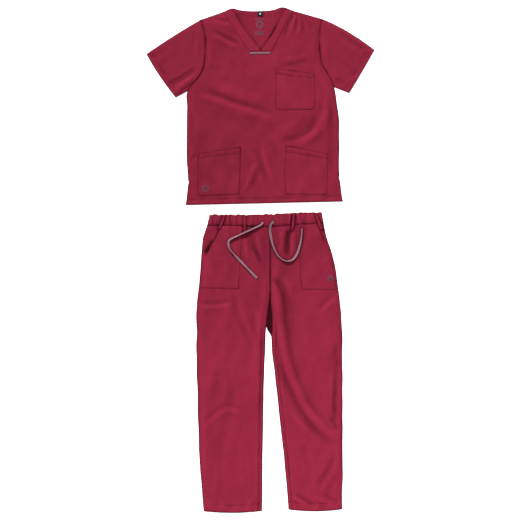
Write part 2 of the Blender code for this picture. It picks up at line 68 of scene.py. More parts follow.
BACK_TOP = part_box("top_back")[1][2]
FRONT_BASE = BACK_TOP + 0.0003
THIN = 0.0009
EDGE_FOOT = 0.0008
ROLL_WIDTH = 0.009
PUFF = 0.0028
PUFF_WIDTH = 0.022
FOLD_STRENGTH = 1.4
# How strongly the troughs of the folds are painted with shade, by their depth.
PAINTED_TROUGH_SHADE = 55.0
# Painted shade laid on all the cloth, so that a painted highlight on a ridge can be lighter than
# it.
REST_SHADE = 0.14
# How strongly painted crease shade and highlights follow the height of the cloth around each point,
# and how many cells round they look.
CREASE_SHADE = 90.0
CREASE_REACH = 5
EDGE_WANDER = 0.0030
EDGE_FADE = 0.020
VENT_NOTCH = 0.0030
ARMPIT_Y = 0.590
ARMPIT_FADE = 0.030
TOP_SEED = 201.0
LOWEST_FRONT = 0.0026
CELL = 0.0046
RIM = (0.0004, 0.0012, 0.0025, 0.0045, 0.0072)
STITCH_LINE = (-0.0014, -0.0005, 0.0005, 0.0014)
LAY_GAP = 0.0002
TOP_HEM = 0.020
LEG_HEM = 0.026
INSEAM = 0.013
CUFF_HEM = 0.020
WAIST_RISE = 0.0026
WAIST_RISE_REACH = 0.070
WAIST_DEPTH = 0.041
POCKET_STITCH = 0.0030
BAND_OVERLAP = 0.0018

# Which way along X leads from the outer edge of each side to the middle.
INWARD = {"right": 1.0, "left": -1.0}

# --- Outlines, as rows across each piece.

# Each row of the top goes from the right side, past both neck edges, to the left side.
TopRow = namedtuple("TopRow", "side_right neck_right neck_left side_left")
TOP_ROWS = (
    TopRow((-0.213, 0.865), (-0.134, 0.892), (0.120, 0.897), (0.222, 0.868)),
    TopRow((-0.201, 0.826), (-0.108, 0.854), (0.097, 0.857), (0.216, 0.830)),
    TopRow((-0.196, 0.794), (-0.083, 0.818), (0.077, 0.818), (0.213, 0.797)),
    TopRow((-0.196, 0.760), (-0.059, 0.783), (0.058, 0.783), (0.215, 0.757)),
    TopRow((-0.198, 0.728), (-0.037, 0.751), (0.041, 0.751), (0.219, 0.724)),
    TopRow((-0.203, 0.692), (-0.035, 0.712), (0.041, 0.712), (0.226, 0.700)),
    TopRow((-0.222, 0.656), (-0.036, 0.672), (0.040, 0.672), (0.243, 0.672)),
    TopRow((-0.247, 0.627), (-0.037, 0.634), (0.042, 0.636), (0.258, 0.645)),
    TopRow((-0.261, 0.607), (-0.038, 0.610), (0.044, 0.613), (0.267, 0.621)),
    TopRow((-0.262, 0.550), (-0.038, 0.555), (0.044, 0.557), (0.277, 0.562)),
    TopRow((-0.263, 0.490), (-0.038, 0.494), (0.044, 0.496), (0.284, 0.500)),
    TopRow((-0.264, 0.420), (-0.038, 0.424), (0.044, 0.426), (0.285, 0.430)),
    TopRow((-0.264, 0.350), (-0.038, 0.355), (0.044, 0.358), (0.285, 0.362)),
    TopRow((-0.259, 0.277), (-0.038, 0.286), (0.044, 0.289), (0.286, 0.294)),
    TopRow((-0.262, 0.238), (-0.038, 0.245), (0.044, 0.247), (0.292, 0.252)),
    TopRow((-0.268, 0.197), (-0.038, 0.203), (0.044, 0.205), (0.297, 0.210)),
)
NECK_ROW = 4
ARMHOLE_ROW = 8
VENT_TOP = {"right": 0.277, "left": 0.294}
SHOULDER_LINE = ((-0.213, 0.865), (-0.134, 0.892), (-0.100, 0.905), (0.084, 0.907),
                 (0.120, 0.897), (0.222, 0.868))
BACK_NECK = ((-0.134, 0.892), (-0.100, 0.906), (-0.075, 0.900), (-0.004, 0.896), (0.050, 0.901),
             (0.080, 0.910), (0.120, 0.897))

Cuff = namedtuple("Cuff", "tip corner")
CUFFS = {
    "right": Cuff((-0.409, 0.741), (-0.303, 0.584)),
    "left": Cuff((0.412, 0.756), (0.321, 0.600)),
}
SLEEVE_HEIGHT = 0.0054
SLEEVE_BULGE = {"right": 0.0035, "left": 0.0095}
CUFF_BOW = {"right": -0.0055, "left": 0.0015}

# A plain panel's row runs from one side to the other.
Row = namedtuple("Row", "x_start y_start x_end y_end")
LEG_ROWS = {
    "right": (
        Row(-0.1900, 0.1268, 0.0350, 0.1206),
        Row(-0.2050, 0.0790, 0.0355, 0.0790),
        Row(-0.2090, 0.0360, 0.0360, 0.0360),
        Row(-0.2170, -0.0600, 0.0360, -0.0600),
        Row(-0.2220, -0.1080, 0.0355, -0.1080),
        Row(-0.2270, -0.1650, 0.0310, -0.1650),
        Row(-0.2300, -0.2150, 0.0250, -0.2150),
        Row(-0.2290, -0.2620, 0.0200, -0.2620),
        Row(-0.2290, -0.3300, 0.0180, -0.3300),
        Row(-0.2280, -0.4000, 0.0145, -0.4000),
        Row(-0.2255, -0.5040, 0.0122, -0.5040),
        Row(-0.2215, -0.6120, 0.0108, -0.6120),
        Row(-0.2175, -0.7200, 0.0088, -0.7200),
        Row(-0.2110, -0.8060, 0.0084, -0.8060),
        Row(-0.2030, -0.9045, 0.0074, -0.9035),
    ),
    "left": (
        Row(0.0370, 0.1208, 0.2280, 0.1355),
        Row(0.0370, 0.0790, 0.2410, 0.0790),
        Row(0.0370, 0.0360, 0.2560, 0.0360),
        Row(0.0370, -0.0600, 0.2755, -0.0600),
        Row(0.0370, -0.1080, 0.2835, -0.1080),
        Row(0.0390, -0.1650, 0.2890, -0.1650),
        Row(0.0430, -0.2150, 0.2935, -0.2150),
        Row(0.0435, -0.2650, 0.2960, -0.2650),
        Row(0.0430, -0.3300, 0.2965, -0.3300),
        Row(0.0525, -0.4000, 0.2970, -0.4000),
        Row(0.0645, -0.5040, 0.2980, -0.5040),
        Row(0.0750, -0.6120, 0.2985, -0.6120),
        Row(0.0875, -0.7200, 0.2970, -0.7200),
        Row(0.0962, -0.8060, 0.2965, -0.8060),
        Row(0.1020, -0.8980, 0.2965, -0.8970),
    ),
}
HEM_DIP = 0.006

# The inner edge of each back leg where it differs from the front's, with the crotch between them.
BACK_INSEAM = {
    "right": ((0.1206, 0.0360), (-0.2050, 0.0360), (-0.2440, 0.0215), (-0.2620, 0.0200)),
    "left": (
        (0.1208, 0.0370), (-0.2050, 0.0370), (-0.2440, 0.0225), (-0.2740, 0.0410),
        (-0.3300, 0.0430),
    ),
}

WaistRow = namedtuple("WaistRow", "x_seam y_seam x_top y_top")
WAIST_ROWS = (
    WaistRow(-0.190, 0.1285, -0.181, 0.164),
    WaistRow(-0.060, 0.1245, -0.055, 0.163),
    WaistRow(0.036, 0.1220, 0.036, 0.165),
    WaistRow(0.122, 0.1282, 0.127, 0.170),
    WaistRow(0.229, 0.1370, 0.222, 0.172),
)
WAIST_HEIGHT = 0.0072
WAIST_WALL = 0.0014

BAND_ROWS = {
    "right": (
        Row(-0.1330, 0.8925, -0.0995, 0.9030),
        Row(-0.1070, 0.8545, -0.0760, 0.8600),
        Row(-0.0820, 0.8185, -0.0490, 0.8200),
        Row(-0.0580, 0.7835, -0.0220, 0.7860),
        Row(-0.0360, 0.7520, 0.0010, 0.7530),
    ),
    "left": (
        Row(0.0900, 0.9000, 0.1190, 0.8975),
        Row(0.0700, 0.8590, 0.0960, 0.8575),
        Row(0.0500, 0.8180, 0.0760, 0.8185),
        Row(0.0260, 0.7850, 0.0570, 0.7835),
        Row(0.0020, 0.7530, 0.0400, 0.7520),
    ),
}

POCKET_ROWS = {
    "chest_pocket": (
        Row(0.056, 0.690, 0.196, 0.671),
        Row(0.056, 0.630, 0.198, 0.624),
        Row(0.054, 0.556, 0.198, 0.556),
        Row(0.057, 0.545, 0.194, 0.545),
        Row(0.068, 0.540, 0.184, 0.540),
    ),
    "lower_pocket_right": (
        Row(-0.216, 0.384, -0.070, 0.407),
        Row(-0.224, 0.374, -0.070, 0.390),
        Row(-0.225, 0.300, -0.071, 0.310),
        Row(-0.225, 0.229, -0.073, 0.236),
    ),
    "lower_pocket_left": (
        Row(0.092, 0.413, 0.244, 0.383),
        Row(0.086, 0.320, 0.243, 0.310),
        Row(0.091, 0.235, 0.240, 0.235),
    ),
    "trouser_pocket_right": (
        Row(-0.142, 0.117, -0.061, 0.116),
        Row(-0.164, 0.078, -0.065, 0.078),
        Row(-0.190, 0.026, -0.069, 0.030),
        Row(-0.205, 0.012, -0.070, 0.014),
        Row(-0.214, -0.050, -0.073, -0.050),
        Row(-0.219, -0.100, -0.076, -0.105),
    ),
    "trouser_pocket_left": (
        Row(0.145, 0.116, 0.204, 0.122),
        Row(0.145, 0.076, 0.230, 0.078),
        Row(0.144, 0.034, 0.250, 0.036),
        Row(0.143, 0.010, 0.257, 0.018),
        Row(0.143, -0.045, 0.266, -0.045),
        Row(0.149, -0.106, 0.275, -0.106),
    ),
}

Loop = namedtuple("Loop", "x_top y_top x_end y_end")
BELT_LOOPS = {
    "belt_loop_side_right": Loop(-0.128, 0.160, -0.146, 0.112),
    "belt_loop_front_right": Loop(-0.055, 0.160, -0.055, 0.101),
    "belt_loop_front_left": Loop(0.122, 0.165, 0.116, 0.108),
    "belt_loop_side_left": Loop(0.202, 0.163, 0.221, 0.110),
}
LOOP_WIDTH = 0.012

# The free ends of the drawstring: the route of each, and how far the flat tape is turned on edge
# along it, as pairs of share and degrees.
STRING_ROUTES = {
    "drawstring_right": (
        (0.011, 0.1370, 0.0108),
        (0.004, 0.1270, 0.0106),
        (-0.020, 0.1150, 0.0100),
        (-0.052, 0.1000, 0.0126),
        (-0.085, 0.0850, 0.0106),
        (-0.109, 0.0725, 0.0098),
        (-0.1130, 0.0560, 0.0094),
        (-0.107, 0.0370, 0.0092),
        (-0.088, 0.0150, 0.0092),
        (-0.066, -0.0080, 0.0086),
        (-0.040, -0.0350, 0.0076),
        (-0.011, -0.0650, 0.0073),
    ),
    "drawstring_left": (
        (0.051, 0.1390, 0.0104),
        (0.040, 0.1280, 0.0107),
        (0.0365, 0.1100, 0.0094),
        (0.039, 0.0860, 0.0088),
        (0.046, 0.0560, 0.0080),
        (0.060, 0.0230, 0.0074),
        (0.078, 0.0040, 0.0074),
        (0.098, -0.0040, 0.0073),
        (0.118, 0.0020, 0.0074),
        (0.134, 0.0240, 0.0082),
        (0.143, 0.0520, 0.0099),
        (0.149, 0.0840, 0.0106),
        (0.150, 0.1140, 0.0114),
    ),
}
STRING_TURNS = {
    "drawstring_right": (
        (0.0, -15.0), (0.08, -38.0), (0.22, -52.0), (0.38, -46.0), (0.48, -24.0), (0.58, 30.0),
        (0.68, 60.0), (0.80, 12.0), (0.88, 35.0), (1.0, 8.0),
    ),
    "drawstring_left": (
        (0.0, 8.0), (0.10, 20.0), (0.20, 6.0), (0.36, 35.0), (0.50, 62.0), (0.62, 55.0),
        (0.74, 14.0), (0.86, 40.0), (0.93, 58.0), (1.0, 62.0),
    ),
}
STRING_POINTS = 120

# --- Folds: a path in plan, a lift in metres (below zero for a trough) and a half width.

Fold = namedtuple("Fold", "path lift width")
TOP_FOLDS = (
    # The long diagonal fold from the right armpit to the middle.
    Fold(((-0.236, 0.600), (-0.160, 0.574), (-0.090, 0.546), (0.080, 0.497)), 0.0028, 0.025),
    Fold(((-0.232, 0.622), (-0.150, 0.592), (-0.080, 0.564), (0.072, 0.522)), -0.0017, 0.018),
    Fold(((-0.215, 0.650), (-0.130, 0.618), (-0.050, 0.592), (0.040, 0.575)), 0.0014, 0.030),
    Fold(((-0.200, 0.560), (-0.120, 0.530), (-0.040, 0.508)), 0.0010, 0.016),
    # The curved fold under the chest pocket.
    Fold(((0.240, 0.545), (0.226, 0.490), (0.196, 0.446), (0.128, 0.412)), 0.0032, 0.025),
    Fold(((0.210, 0.530), (0.180, 0.478), (0.138, 0.446), (0.066, 0.425)), -0.0022, 0.018),
    Fold(((0.176, 0.535), (0.130, 0.490), (0.060, 0.455)), 0.0012, 0.028),
    Fold(((0.228, 0.470), (0.205, 0.436), (0.165, 0.418)), -0.0010, 0.012),
    # Soft folds that rise from the hem between the lower pockets.
    Fold(((0.002, 0.424), (0.018, 0.370), (0.034, 0.326), (0.050, 0.280)), 0.0018, 0.015),
    Fold(((-0.012, 0.400), (0.000, 0.356), (0.014, 0.310), (0.026, 0.270)), -0.0014, 0.015),
    Fold(((-0.010, 0.366), (-0.030, 0.310), (-0.046, 0.270), (-0.068, 0.226)), 0.0017, 0.015),
    Fold(((0.008, 0.340), (-0.012, 0.300), (-0.026, 0.260)), -0.0012, 0.014),
    Fold(((0.030, 0.430), (0.052, 0.400), (0.062, 0.360)), -0.0012, 0.016),
    # Shoulders.
    Fold(((-0.170, 0.828), (-0.130, 0.804), (-0.100, 0.790), (-0.070, 0.774)), -0.0020, 0.012),
    Fold(((-0.172, 0.810), (-0.130, 0.787), (-0.080, 0.762)), 0.0018, 0.016),
    Fold(((-0.165, 0.872), (-0.138, 0.862), (-0.104, 0.858)), -0.0015, 0.009),
    Fold(((-0.165, 0.856), (-0.138, 0.847), (-0.104, 0.842)), 0.0010, 0.010),
    Fold(((0.128, 0.888), (0.104, 0.850), (0.086, 0.800)), -0.0015, 0.009),
    Fold(((0.136, 0.888), (0.132, 0.850), (0.128, 0.812)), -0.0016, 0.008),
    Fold(((0.144, 0.886), (0.154, 0.850), (0.160, 0.815)), -0.0015, 0.008),
    Fold(((0.152, 0.882), (0.174, 0.856), (0.190, 0.832)), -0.0014, 0.008),
    Fold(((0.132, 0.880), (0.118, 0.840), (0.106, 0.795)), 0.0014, 0.010),
    Fold(((0.140, 0.880), (0.144, 0.845), (0.146, 0.805)), 0.0012, 0.009),
    Fold(((0.176, 0.740), (0.130, 0.722), (0.070, 0.716)), 0.0014, 0.018),
    Fold(((0.180, 0.722), (0.130, 0.704), (0.070, 0.698)), -0.0009, 0.012),
    # Sides and armpits.
    Fold(((0.254, 0.600), (0.258, 0.500), (0.255, 0.400), (0.260, 0.290)), -0.0016, 0.014),
    Fold(((0.236, 0.600), (0.238, 0.520), (0.236, 0.440)), 0.0012, 0.014),
    Fold(((-0.236, 0.610), (-0.226, 0.604), (-0.214, 0.602)), -0.0018, 0.014),
    Fold(((-0.246, 0.540), (-0.242, 0.470), (-0.246, 0.400)), -0.0012, 0.012),
    Fold(((-0.256, 0.352), (-0.240, 0.368), (-0.224, 0.386)), -0.0016, 0.008),
    Fold(((-0.190, 0.700), (-0.160, 0.690), (-0.120, 0.688)), -0.0008, 0.014),
    Fold(((0.205, 0.690), (0.220, 0.650), (0.240, 0.610)), 0.0012, 0.014),
)
SLEEVE_FOLDS = (
    Fold(((-0.226, 0.690), (-0.262, 0.664), (-0.300, 0.642), (-0.340, 0.628)), -0.0026, 0.016),
    Fold(((-0.226, 0.668), (-0.262, 0.640), (-0.290, 0.618), (-0.316, 0.600)), 0.0022, 0.018),
    Fold(((-0.226, 0.640), (-0.262, 0.618), (-0.290, 0.600)), -0.0008, 0.008),
    Fold(((-0.222, 0.800), (-0.230, 0.760), (-0.226, 0.720)), 0.0012, 0.014),
    Fold(((-0.300, 0.770), (-0.340, 0.735), (-0.375, 0.700)), 0.0008, 0.020),
    Fold(((-0.345, 0.740), (-0.352, 0.700), (-0.340, 0.660)), -0.0006, 0.016),
    Fold(((0.282, 0.820), (0.330, 0.784), (0.392, 0.742)), -0.0014, 0.015),
    Fold(((0.300, 0.830), (0.350, 0.796), (0.396, 0.764)), 0.0008, 0.016),
    Fold(((0.232, 0.800), (0.236, 0.760), (0.240, 0.720)), 0.0014, 0.014),
    Fold(((0.270, 0.652), (0.288, 0.640), (0.308, 0.634)), -0.0012, 0.015),
    Fold(((0.262, 0.690), (0.275, 0.664), (0.290, 0.655)), 0.0014, 0.012),
    Fold(((0.290, 0.720), (0.330, 0.690), (0.350, 0.660)), -0.0006, 0.018),
)
LEG_FOLDS = (
    # The long fold that swings from the crotch to the outer knee of the left leg.
    Fold(((0.058, 0.010), (0.060, -0.120), (0.078, -0.282), (0.108, -0.400), (0.124, -0.446),
          (0.164, -0.528), (0.200, -0.577), (0.244, -0.624), (0.280, -0.650)), 0.0066, 0.024),
    Fold(((0.060, -0.330), (0.082, -0.420), (0.118, -0.510), (0.158, -0.575), (0.232, -0.650)),
         -0.0030, 0.021),
    Fold(((0.250, -0.560), (0.266, -0.590), (0.284, -0.618)), -0.0020, 0.012),
    Fold(((0.070, -0.420), (0.110, -0.530), (0.170, -0.625)), 0.0016, 0.024),
    Fold(((0.104, 0.112), (0.100, 0.070), (0.098, 0.006)), -0.0044, 0.013),
    Fold(((0.078, 0.112), (0.078, 0.060), (0.074, 0.020)), 0.0028, 0.013),
    Fold(((0.126, 0.112), (0.122, 0.060), (0.120, 0.010)), 0.0026, 0.013),
    Fold(((0.044, -0.056), (0.062, -0.080), (0.084, -0.112), (0.098, -0.160), (0.104, -0.220),
          (0.108, -0.290)), -0.0050, 0.020),
    Fold(((0.084, -0.066), (0.100, -0.088), (0.122, -0.104)), 0.0014, 0.014),
    Fold(((0.112, -0.130), (0.112, -0.220), (0.118, -0.330)), -0.0016, 0.030),
    Fold(((0.150, -0.120), (0.156, -0.220), (0.176, -0.340)), 0.0010, 0.026),
    Fold(((0.246, 0.016), (0.215, -0.030), (0.176, -0.078)), 0.0014, 0.016),
    Fold(((0.230, 0.030), (0.200, -0.010), (0.165, -0.050)), -0.0010, 0.014),
    Fold(((0.284, -0.130), (0.250, -0.160), (0.216, -0.198)), 0.0014, 0.014),
    Fold(((0.270, -0.120), (0.238, -0.146), (0.205, -0.182)), -0.0010, 0.012),
    Fold(((0.272, -0.288), (0.274, -0.400), (0.270, -0.500), (0.272, -0.612)), -0.0030, 0.014),
    Fold(((0.270, -0.706), (0.240, -0.762), (0.200, -0.824)), -0.0010, 0.015),
    Fold(((0.286, -0.722), (0.256, -0.782), (0.214, -0.842)), 0.0013, 0.017),
    Fold(((0.150, -0.660), (0.170, -0.740), (0.176, -0.820)), -0.0008, 0.022),
    Fold(((0.120, -0.700), (0.136, -0.780), (0.142, -0.850)), 0.0008, 0.020),
    Fold(((0.118, -0.850), (0.140, -0.870), (0.174, -0.888)), 0.0022, 0.010),
    Fold(((0.128, -0.842), (0.160, -0.862), (0.196, -0.880)), -0.0018, 0.009),
    Fold(((0.196, -0.850), (0.222, -0.866), (0.256, -0.884)), 0.0018, 0.011),
    Fold(((0.232, -0.842), (0.256, -0.860), (0.282, -0.872)), -0.0014, 0.009),
    # The right leg.
    Fold(((-0.036, 0.104), (-0.024, 0.054), (-0.008, 0.016), (0.006, -0.016)), -0.0027, 0.013),
    Fold(((-0.054, 0.080), (-0.048, 0.036), (-0.038, -0.006)), 0.0028, 0.013),
    Fold(((-0.012, 0.090), (-0.002, 0.050), (0.014, 0.010)), 0.0024, 0.011),
    Fold(((-0.214, -0.172), (-0.160, -0.172), (-0.098, -0.162)), 0.0014, 0.013),
    Fold(((-0.214, -0.154), (-0.160, -0.154), (-0.098, -0.146)), -0.0010, 0.011),
    Fold(((-0.100, -0.112), (-0.084, -0.200), (-0.030, -0.324)), -0.0010, 0.015),
    Fold(((-0.076, -0.112), (-0.060, -0.196), (-0.014, -0.300)), 0.0010, 0.015),
    Fold(((-0.030, -0.180), (-0.026, -0.230), (-0.022, -0.290)), -0.0008, 0.014),
    Fold(((-0.008, -0.180), (-0.006, -0.230), (-0.004, -0.270)), 0.0012, 0.012),
    Fold(((-0.212, -0.618), (-0.160, -0.568), (-0.110, -0.542), (-0.048, -0.568)), 0.0009, 0.016),
    Fold(((-0.214, -0.598), (-0.166, -0.548), (-0.116, -0.520), (-0.046, -0.544)), -0.0007, 0.015),
    Fold(((-0.190, -0.300), (-0.180, -0.400), (-0.186, -0.500)), 0.0008, 0.024),
    Fold(((-0.120, -0.380), (-0.106, -0.460), (-0.110, -0.520)), -0.0006, 0.022),
    Fold(((-0.060, -0.640), (-0.070, -0.740), (-0.064, -0.850)), 0.0008, 0.020),
    Fold(((-0.150, -0.660), (-0.140, -0.760), (-0.144, -0.860)), -0.0007, 0.022),
    Fold(((-0.156, 0.030), (-0.142, 0.018), (-0.126, 0.016)), -0.0010, 0.010),
    Fold(((-0.150, 0.008), (-0.136, 0.002), (-0.120, 0.006)), 0.0009, 0.010),
    Fold(((-0.036, -0.700), (-0.026, -0.780), (-0.030, -0.860)), -0.0006, 0.014),
)
BACK_LIFT = 0.0003
BACK_FOLDS = tuple(Fold(path, BACK_LIFT, width) for path, width in (
    (((-0.210, 0.800), (-0.060, 0.760), (0.080, 0.780)), 0.014),
    (((-0.230, 0.560), (-0.080, 0.520), (0.060, 0.470)), 0.016),
    (((0.240, 0.500), (0.160, 0.430), (0.040, 0.400)), 0.014),
    (((-0.060, 0.400), (-0.040, 0.320), (-0.050, 0.230)), 0.012),
    (((0.120, 0.360), (0.140, 0.300), (0.130, 0.230)), 0.014),
    (((0.250, -0.060), (0.180, -0.140), (0.100, -0.180)), 0.014),
    (((-0.190, -0.060), (-0.120, -0.130), (-0.020, -0.160)), 0.014),
    (((0.080, -0.400), (0.180, -0.520), (0.270, -0.560)), 0.016),
    (((-0.210, -0.520), (-0.130, -0.560), (-0.030, -0.540)), 0.016),
    (((-0.060, -0.640), (-0.070, -0.740), (-0.050, -0.840)), 0.014),
    (((0.200, -0.660), (0.190, -0.760), (0.220, -0.860)), 0.014),
))

# Soft irregular waves: how high, how big, how far drawn out and at what angle, and their seed.
Wave = namedtuple("Wave", "height size stretch angle seed")
TOP_WAVES = (
    Wave(0.0046, 0.120, 1.6, 25.0, 3.1),
    Wave(0.0021, 0.045, 2.2, -30.0, 7.7),
    Wave(0.0005, 0.018, 1.8, 40.0, 12.3),
)
LEG_WAVES = (
    Wave(0.0074, 0.130, 2.0, 20.0, 1.9),
    Wave(0.0032, 0.046, 2.4, -14.0, 9.2),
    Wave(0.0005, 0.018, 1.8, 30.0, 15.8),
)
SLEEVE_WAVES = (Wave(0.0009, 0.070, 1.8, 35.0, 71.0), Wave(0.0004, 0.028, 2.0, -20.0, 75.0))


# --- Sums on whole arrays of points.


def by_side(side, first, second):
    """Two things in this order for the right side, and the other way round for the left."""
    return (first, second) if side == "right" else (second, first)


def smooth_step(share):
    """A soft rise from nought to one."""
    share = np.clip(share, 0.0, 1.0)
    return share * share * (3.0 - 2.0 * share)


def round_edge(distance, width):
    """A quarter round: nought at an edge, one at a width from it."""
    share = np.clip(distance / width, 0.0, 1.0)
    return np.sqrt(np.clip(1.0 - (1.0 - share) ** 2, 0.0, 1.0))


def bow(share):
    """A bow between two ends: nought at both, and one half way."""
    return 4.0 * share * (1.0 - share)


def bell(distance, width):
    """A soft bump: one on a line, and almost nought at two widths from it."""
    return np.exp(-((distance / width) ** 2))


def running_length(points):
    """How far along a path in plan each of its points is."""
    return np.concatenate([[0.0], np.cumsum(np.hypot(*np.diff(points, axis=0).T))])


def reach_from(points, edge):
    """How far each point of a grid is from the point of an edge in its own row or column."""
    return np.hypot(*(points - edge).transpose(2, 0, 1))


def smooth_path(route, count):
    """Points of a smooth curve through the route's own points."""
    knots = np.array(route, dtype=float)
    marks = np.arange(len(knots), dtype=float)
    return rows_at(knots, marks, np.linspace(0.0, marks[-1], count))


def rows_at(knots, marks, stations):
    """Rows read at stations from the smooth curves through knots that stand at marks."""
    slopes = np.gradient(knots, marks, axis=0)
    index = np.clip(np.searchsorted(marks, stations, side="right") - 1, 0, len(marks) - 2)
    span = (marks[index + 1] - marks[index])[:, None]
    local = (stations - marks[index])[:, None] / span
    square = local ** 2
    cube = local ** 3
    return (
        knots[index] * (2.0 * cube - 3.0 * square + 1.0)
        + slopes[index] * span * (cube - 2.0 * square + local)
        + knots[index + 1] * (3.0 * square - 2.0 * cube)
        + slopes[index + 1] * span * (cube - square)
    )


def path_distance(x, y, path):
    """The distance of each point from a path in plan, and the share of the path that is nearest."""
    nearest = np.full(x.shape, 9.0)
    along = np.zeros(x.shape)
    last = len(path) - 1
    for index in range(last):
        start = path[index]
        step = path[index + 1] - start
        reach = max(float(step @ step), 1e-12)
        share = np.clip(((x - start[0]) * step[0] + (y - start[1]) * step[1]) / reach, 0.0, 1.0)
        distance = np.hypot(x - start[0] - share * step[0], y - start[1] - share * step[1])
        closer = distance < nearest
        nearest = np.where(closer, distance, nearest)
        along = np.where(closer, (index + share) / last, along)
    return nearest, along


def folds_height(folds, x, y):
    """The sum of the folds at each point; a fold fades to its sides and its ends."""
    total = np.zeros(x.shape)
    for fold in folds:
        path = smooth_path(fold.path, 4 * len(fold.path))
        low = path.min(axis=0) - fold.width
        high = path.max(axis=0) + fold.width
        near = (x > low[0]) & (x < high[0]) & (y > low[1]) & (y < high[1])
        if not near.any():
            continue
        distance, along = path_distance(x[near], y[near], path)
        side = np.clip(1.0 - (distance / fold.width) ** 2, 0.0, 1.0) ** 2
        ends = smooth_step(np.minimum(along, 1.0 - along) * 3.5 + 0.12)
        total[near] += FOLD_STRENGTH * fold.lift * side * ends
    return total


def rumple(x, y, size, stretch, angle, seed):
    """Soft irregular waves of a size, drawn out along one direction."""
    turn = math.radians(angle)
    across = (x * math.cos(turn) + y * math.sin(turn)) / size
    along = (y * math.cos(turn) - x * math.sin(turn)) / (size * stretch)
    flat = zip(across.ravel().tolist(), along.ravel().tolist())
    values = [noise.noise(Vector((a, b, seed))) for a, b in flat]
    return np.array(values).reshape(x.shape)


def with_waves(height, waves, x, y, inside):
    """A height with waves added to it, as strong at each point as inside says."""
    for wave in waves:
        relief = rumple(x, y, wave.size, wave.stretch, wave.angle, wave.seed)
        height = height + inside * wave.height * relief
    return height


def wander(y, seed):
    """How far an edge strays from its line at each Y."""
    return EDGE_WANDER * rumple(y, np.full(y.shape, 0.5), 0.075, 1.0, 0.0, seed)


def side_gaps(points):
    """How far along X each point of a panel is from its start edge and from its end edge."""
    x = points[..., 0]
    return np.abs(x - points[:, :1, 0]), np.abs(points[:, -1:, 0] - x)


def stray(points, start_share, end_share, seed):
    """Moves the two edges of a panel, and the cloth near them, a little out and in."""
    y = points[..., 1]
    from_start, from_end = side_gaps(points)
    near_start = bell(from_start, EDGE_FADE) * start_share
    near_end = bell(from_end, EDGE_FADE) * end_share
    points[..., 0] += near_start * wander(y, seed) + near_end * wander(y, seed + 5.0)
    return points


def vent_notch(points):
    """Draws both edges of the top in a little, just above the slit of each side seam."""
    y = points[..., 1]
    for edge, side in ((0, "right"), (-1, "left")):
        gap = np.abs(points[..., 0] - points[:, edge, 0][:, None])
        nick = bell(y - VENT_TOP[side] - 0.002, 0.006) * bell(gap, 0.010)
        points[..., 0] += INWARD[side] * VENT_NOTCH * nick
    return points


def loosen_sides(points):
    """Lets both edges of the top stray below the armpits, and draws them in above the slits."""
    below = smooth_step((ARMPIT_Y - points[..., 1]) / ARMPIT_FADE)
    return vent_notch(stray(points, below, below, TOP_SEED))


def edge_line(points, y):
    """The X of an edge, given as pairs of X and Y that run down the piece, at each Y."""
    order = np.argsort(points[:, 1])
    return np.interp(y, points[order, 1], points[order, 0])


def marks_of(rows):
    """The rows as numbers, and how far each is from the first down the middle of the piece."""
    knots = np.array(rows, dtype=float).reshape(len(rows), -1)
    middle = np.stack([knots[:, 0::2].mean(axis=1), knots[:, 1::2].mean(axis=1)], axis=1)
    return knots, running_length(middle)


def stations_for(length, cell, start_rim=(), end_rim=(), fixed=()):
    """Stations along a length: fine at its rims, exact at the fixed ones, even elsewhere."""
    low = max(start_rim, default=0.0)
    high = length - max(end_rim, default=0.0)
    even = np.linspace(low, high, max(2, int(round((high - low) / cell)) + 1))
    stations = [s for s in even if all(abs(s - f) > 0.35 * cell for f in fixed)]
    stations.extend(fixed)
    stations.extend(start_rim)
    stations.extend(length - s for s in end_rim)
    stations.extend((0.0, length))
    return np.unique(np.round(stations, 7))


def sewn_rim(hem):
    """The fine stations beside an edge, with those across a row of stitching a hem away."""
    return tuple(sorted(RIM + tuple(hem + offset for offset in STITCH_LINE)))


def spread(start, end, cells, start_rim=(), end_rim=()):
    """Points on straight lines from start to end: fine at the rims, and even between them."""
    width = np.hypot(*(end - start).T)[:, None]
    low = max(start_rim, default=0.0)
    high = max(end_rim, default=0.0)
    parts = [low + (width - low - high) * np.linspace(0.0, 1.0, cells + 1)]
    if start_rim:
        parts.insert(0, np.tile((0.0,) + start_rim[:-1], (len(width), 1)))
    if end_rim:
        parts.append(width - np.array((0.0,) + end_rim[:-1])[::-1])
    places = np.concatenate(parts, axis=1) / width
    return start[:, None, :] + (end - start)[:, None, :] * places[:, :, None]


# --- Heights of the outer surface of each layer.

TOP_KNOTS, TOP_MARKS = marks_of(TOP_ROWS)
TOP_EDGES = rows_at(TOP_KNOTS, TOP_MARKS, np.linspace(0.0, TOP_MARKS[-1], 160))


def top_edge_distance(x, y):
    """How far a point of the top is from its side seams and its shoulder seams."""
    right = x - edge_line(TOP_EDGES[:, 0:2], y)
    left = edge_line(TOP_EDGES[:, 6:8], y) - x
    shoulder = np.array(SHOULDER_LINE)
    above = 0.95 * (np.interp(x, shoulder[:, 0], shoulder[:, 1]) - y)
    return right, left, above


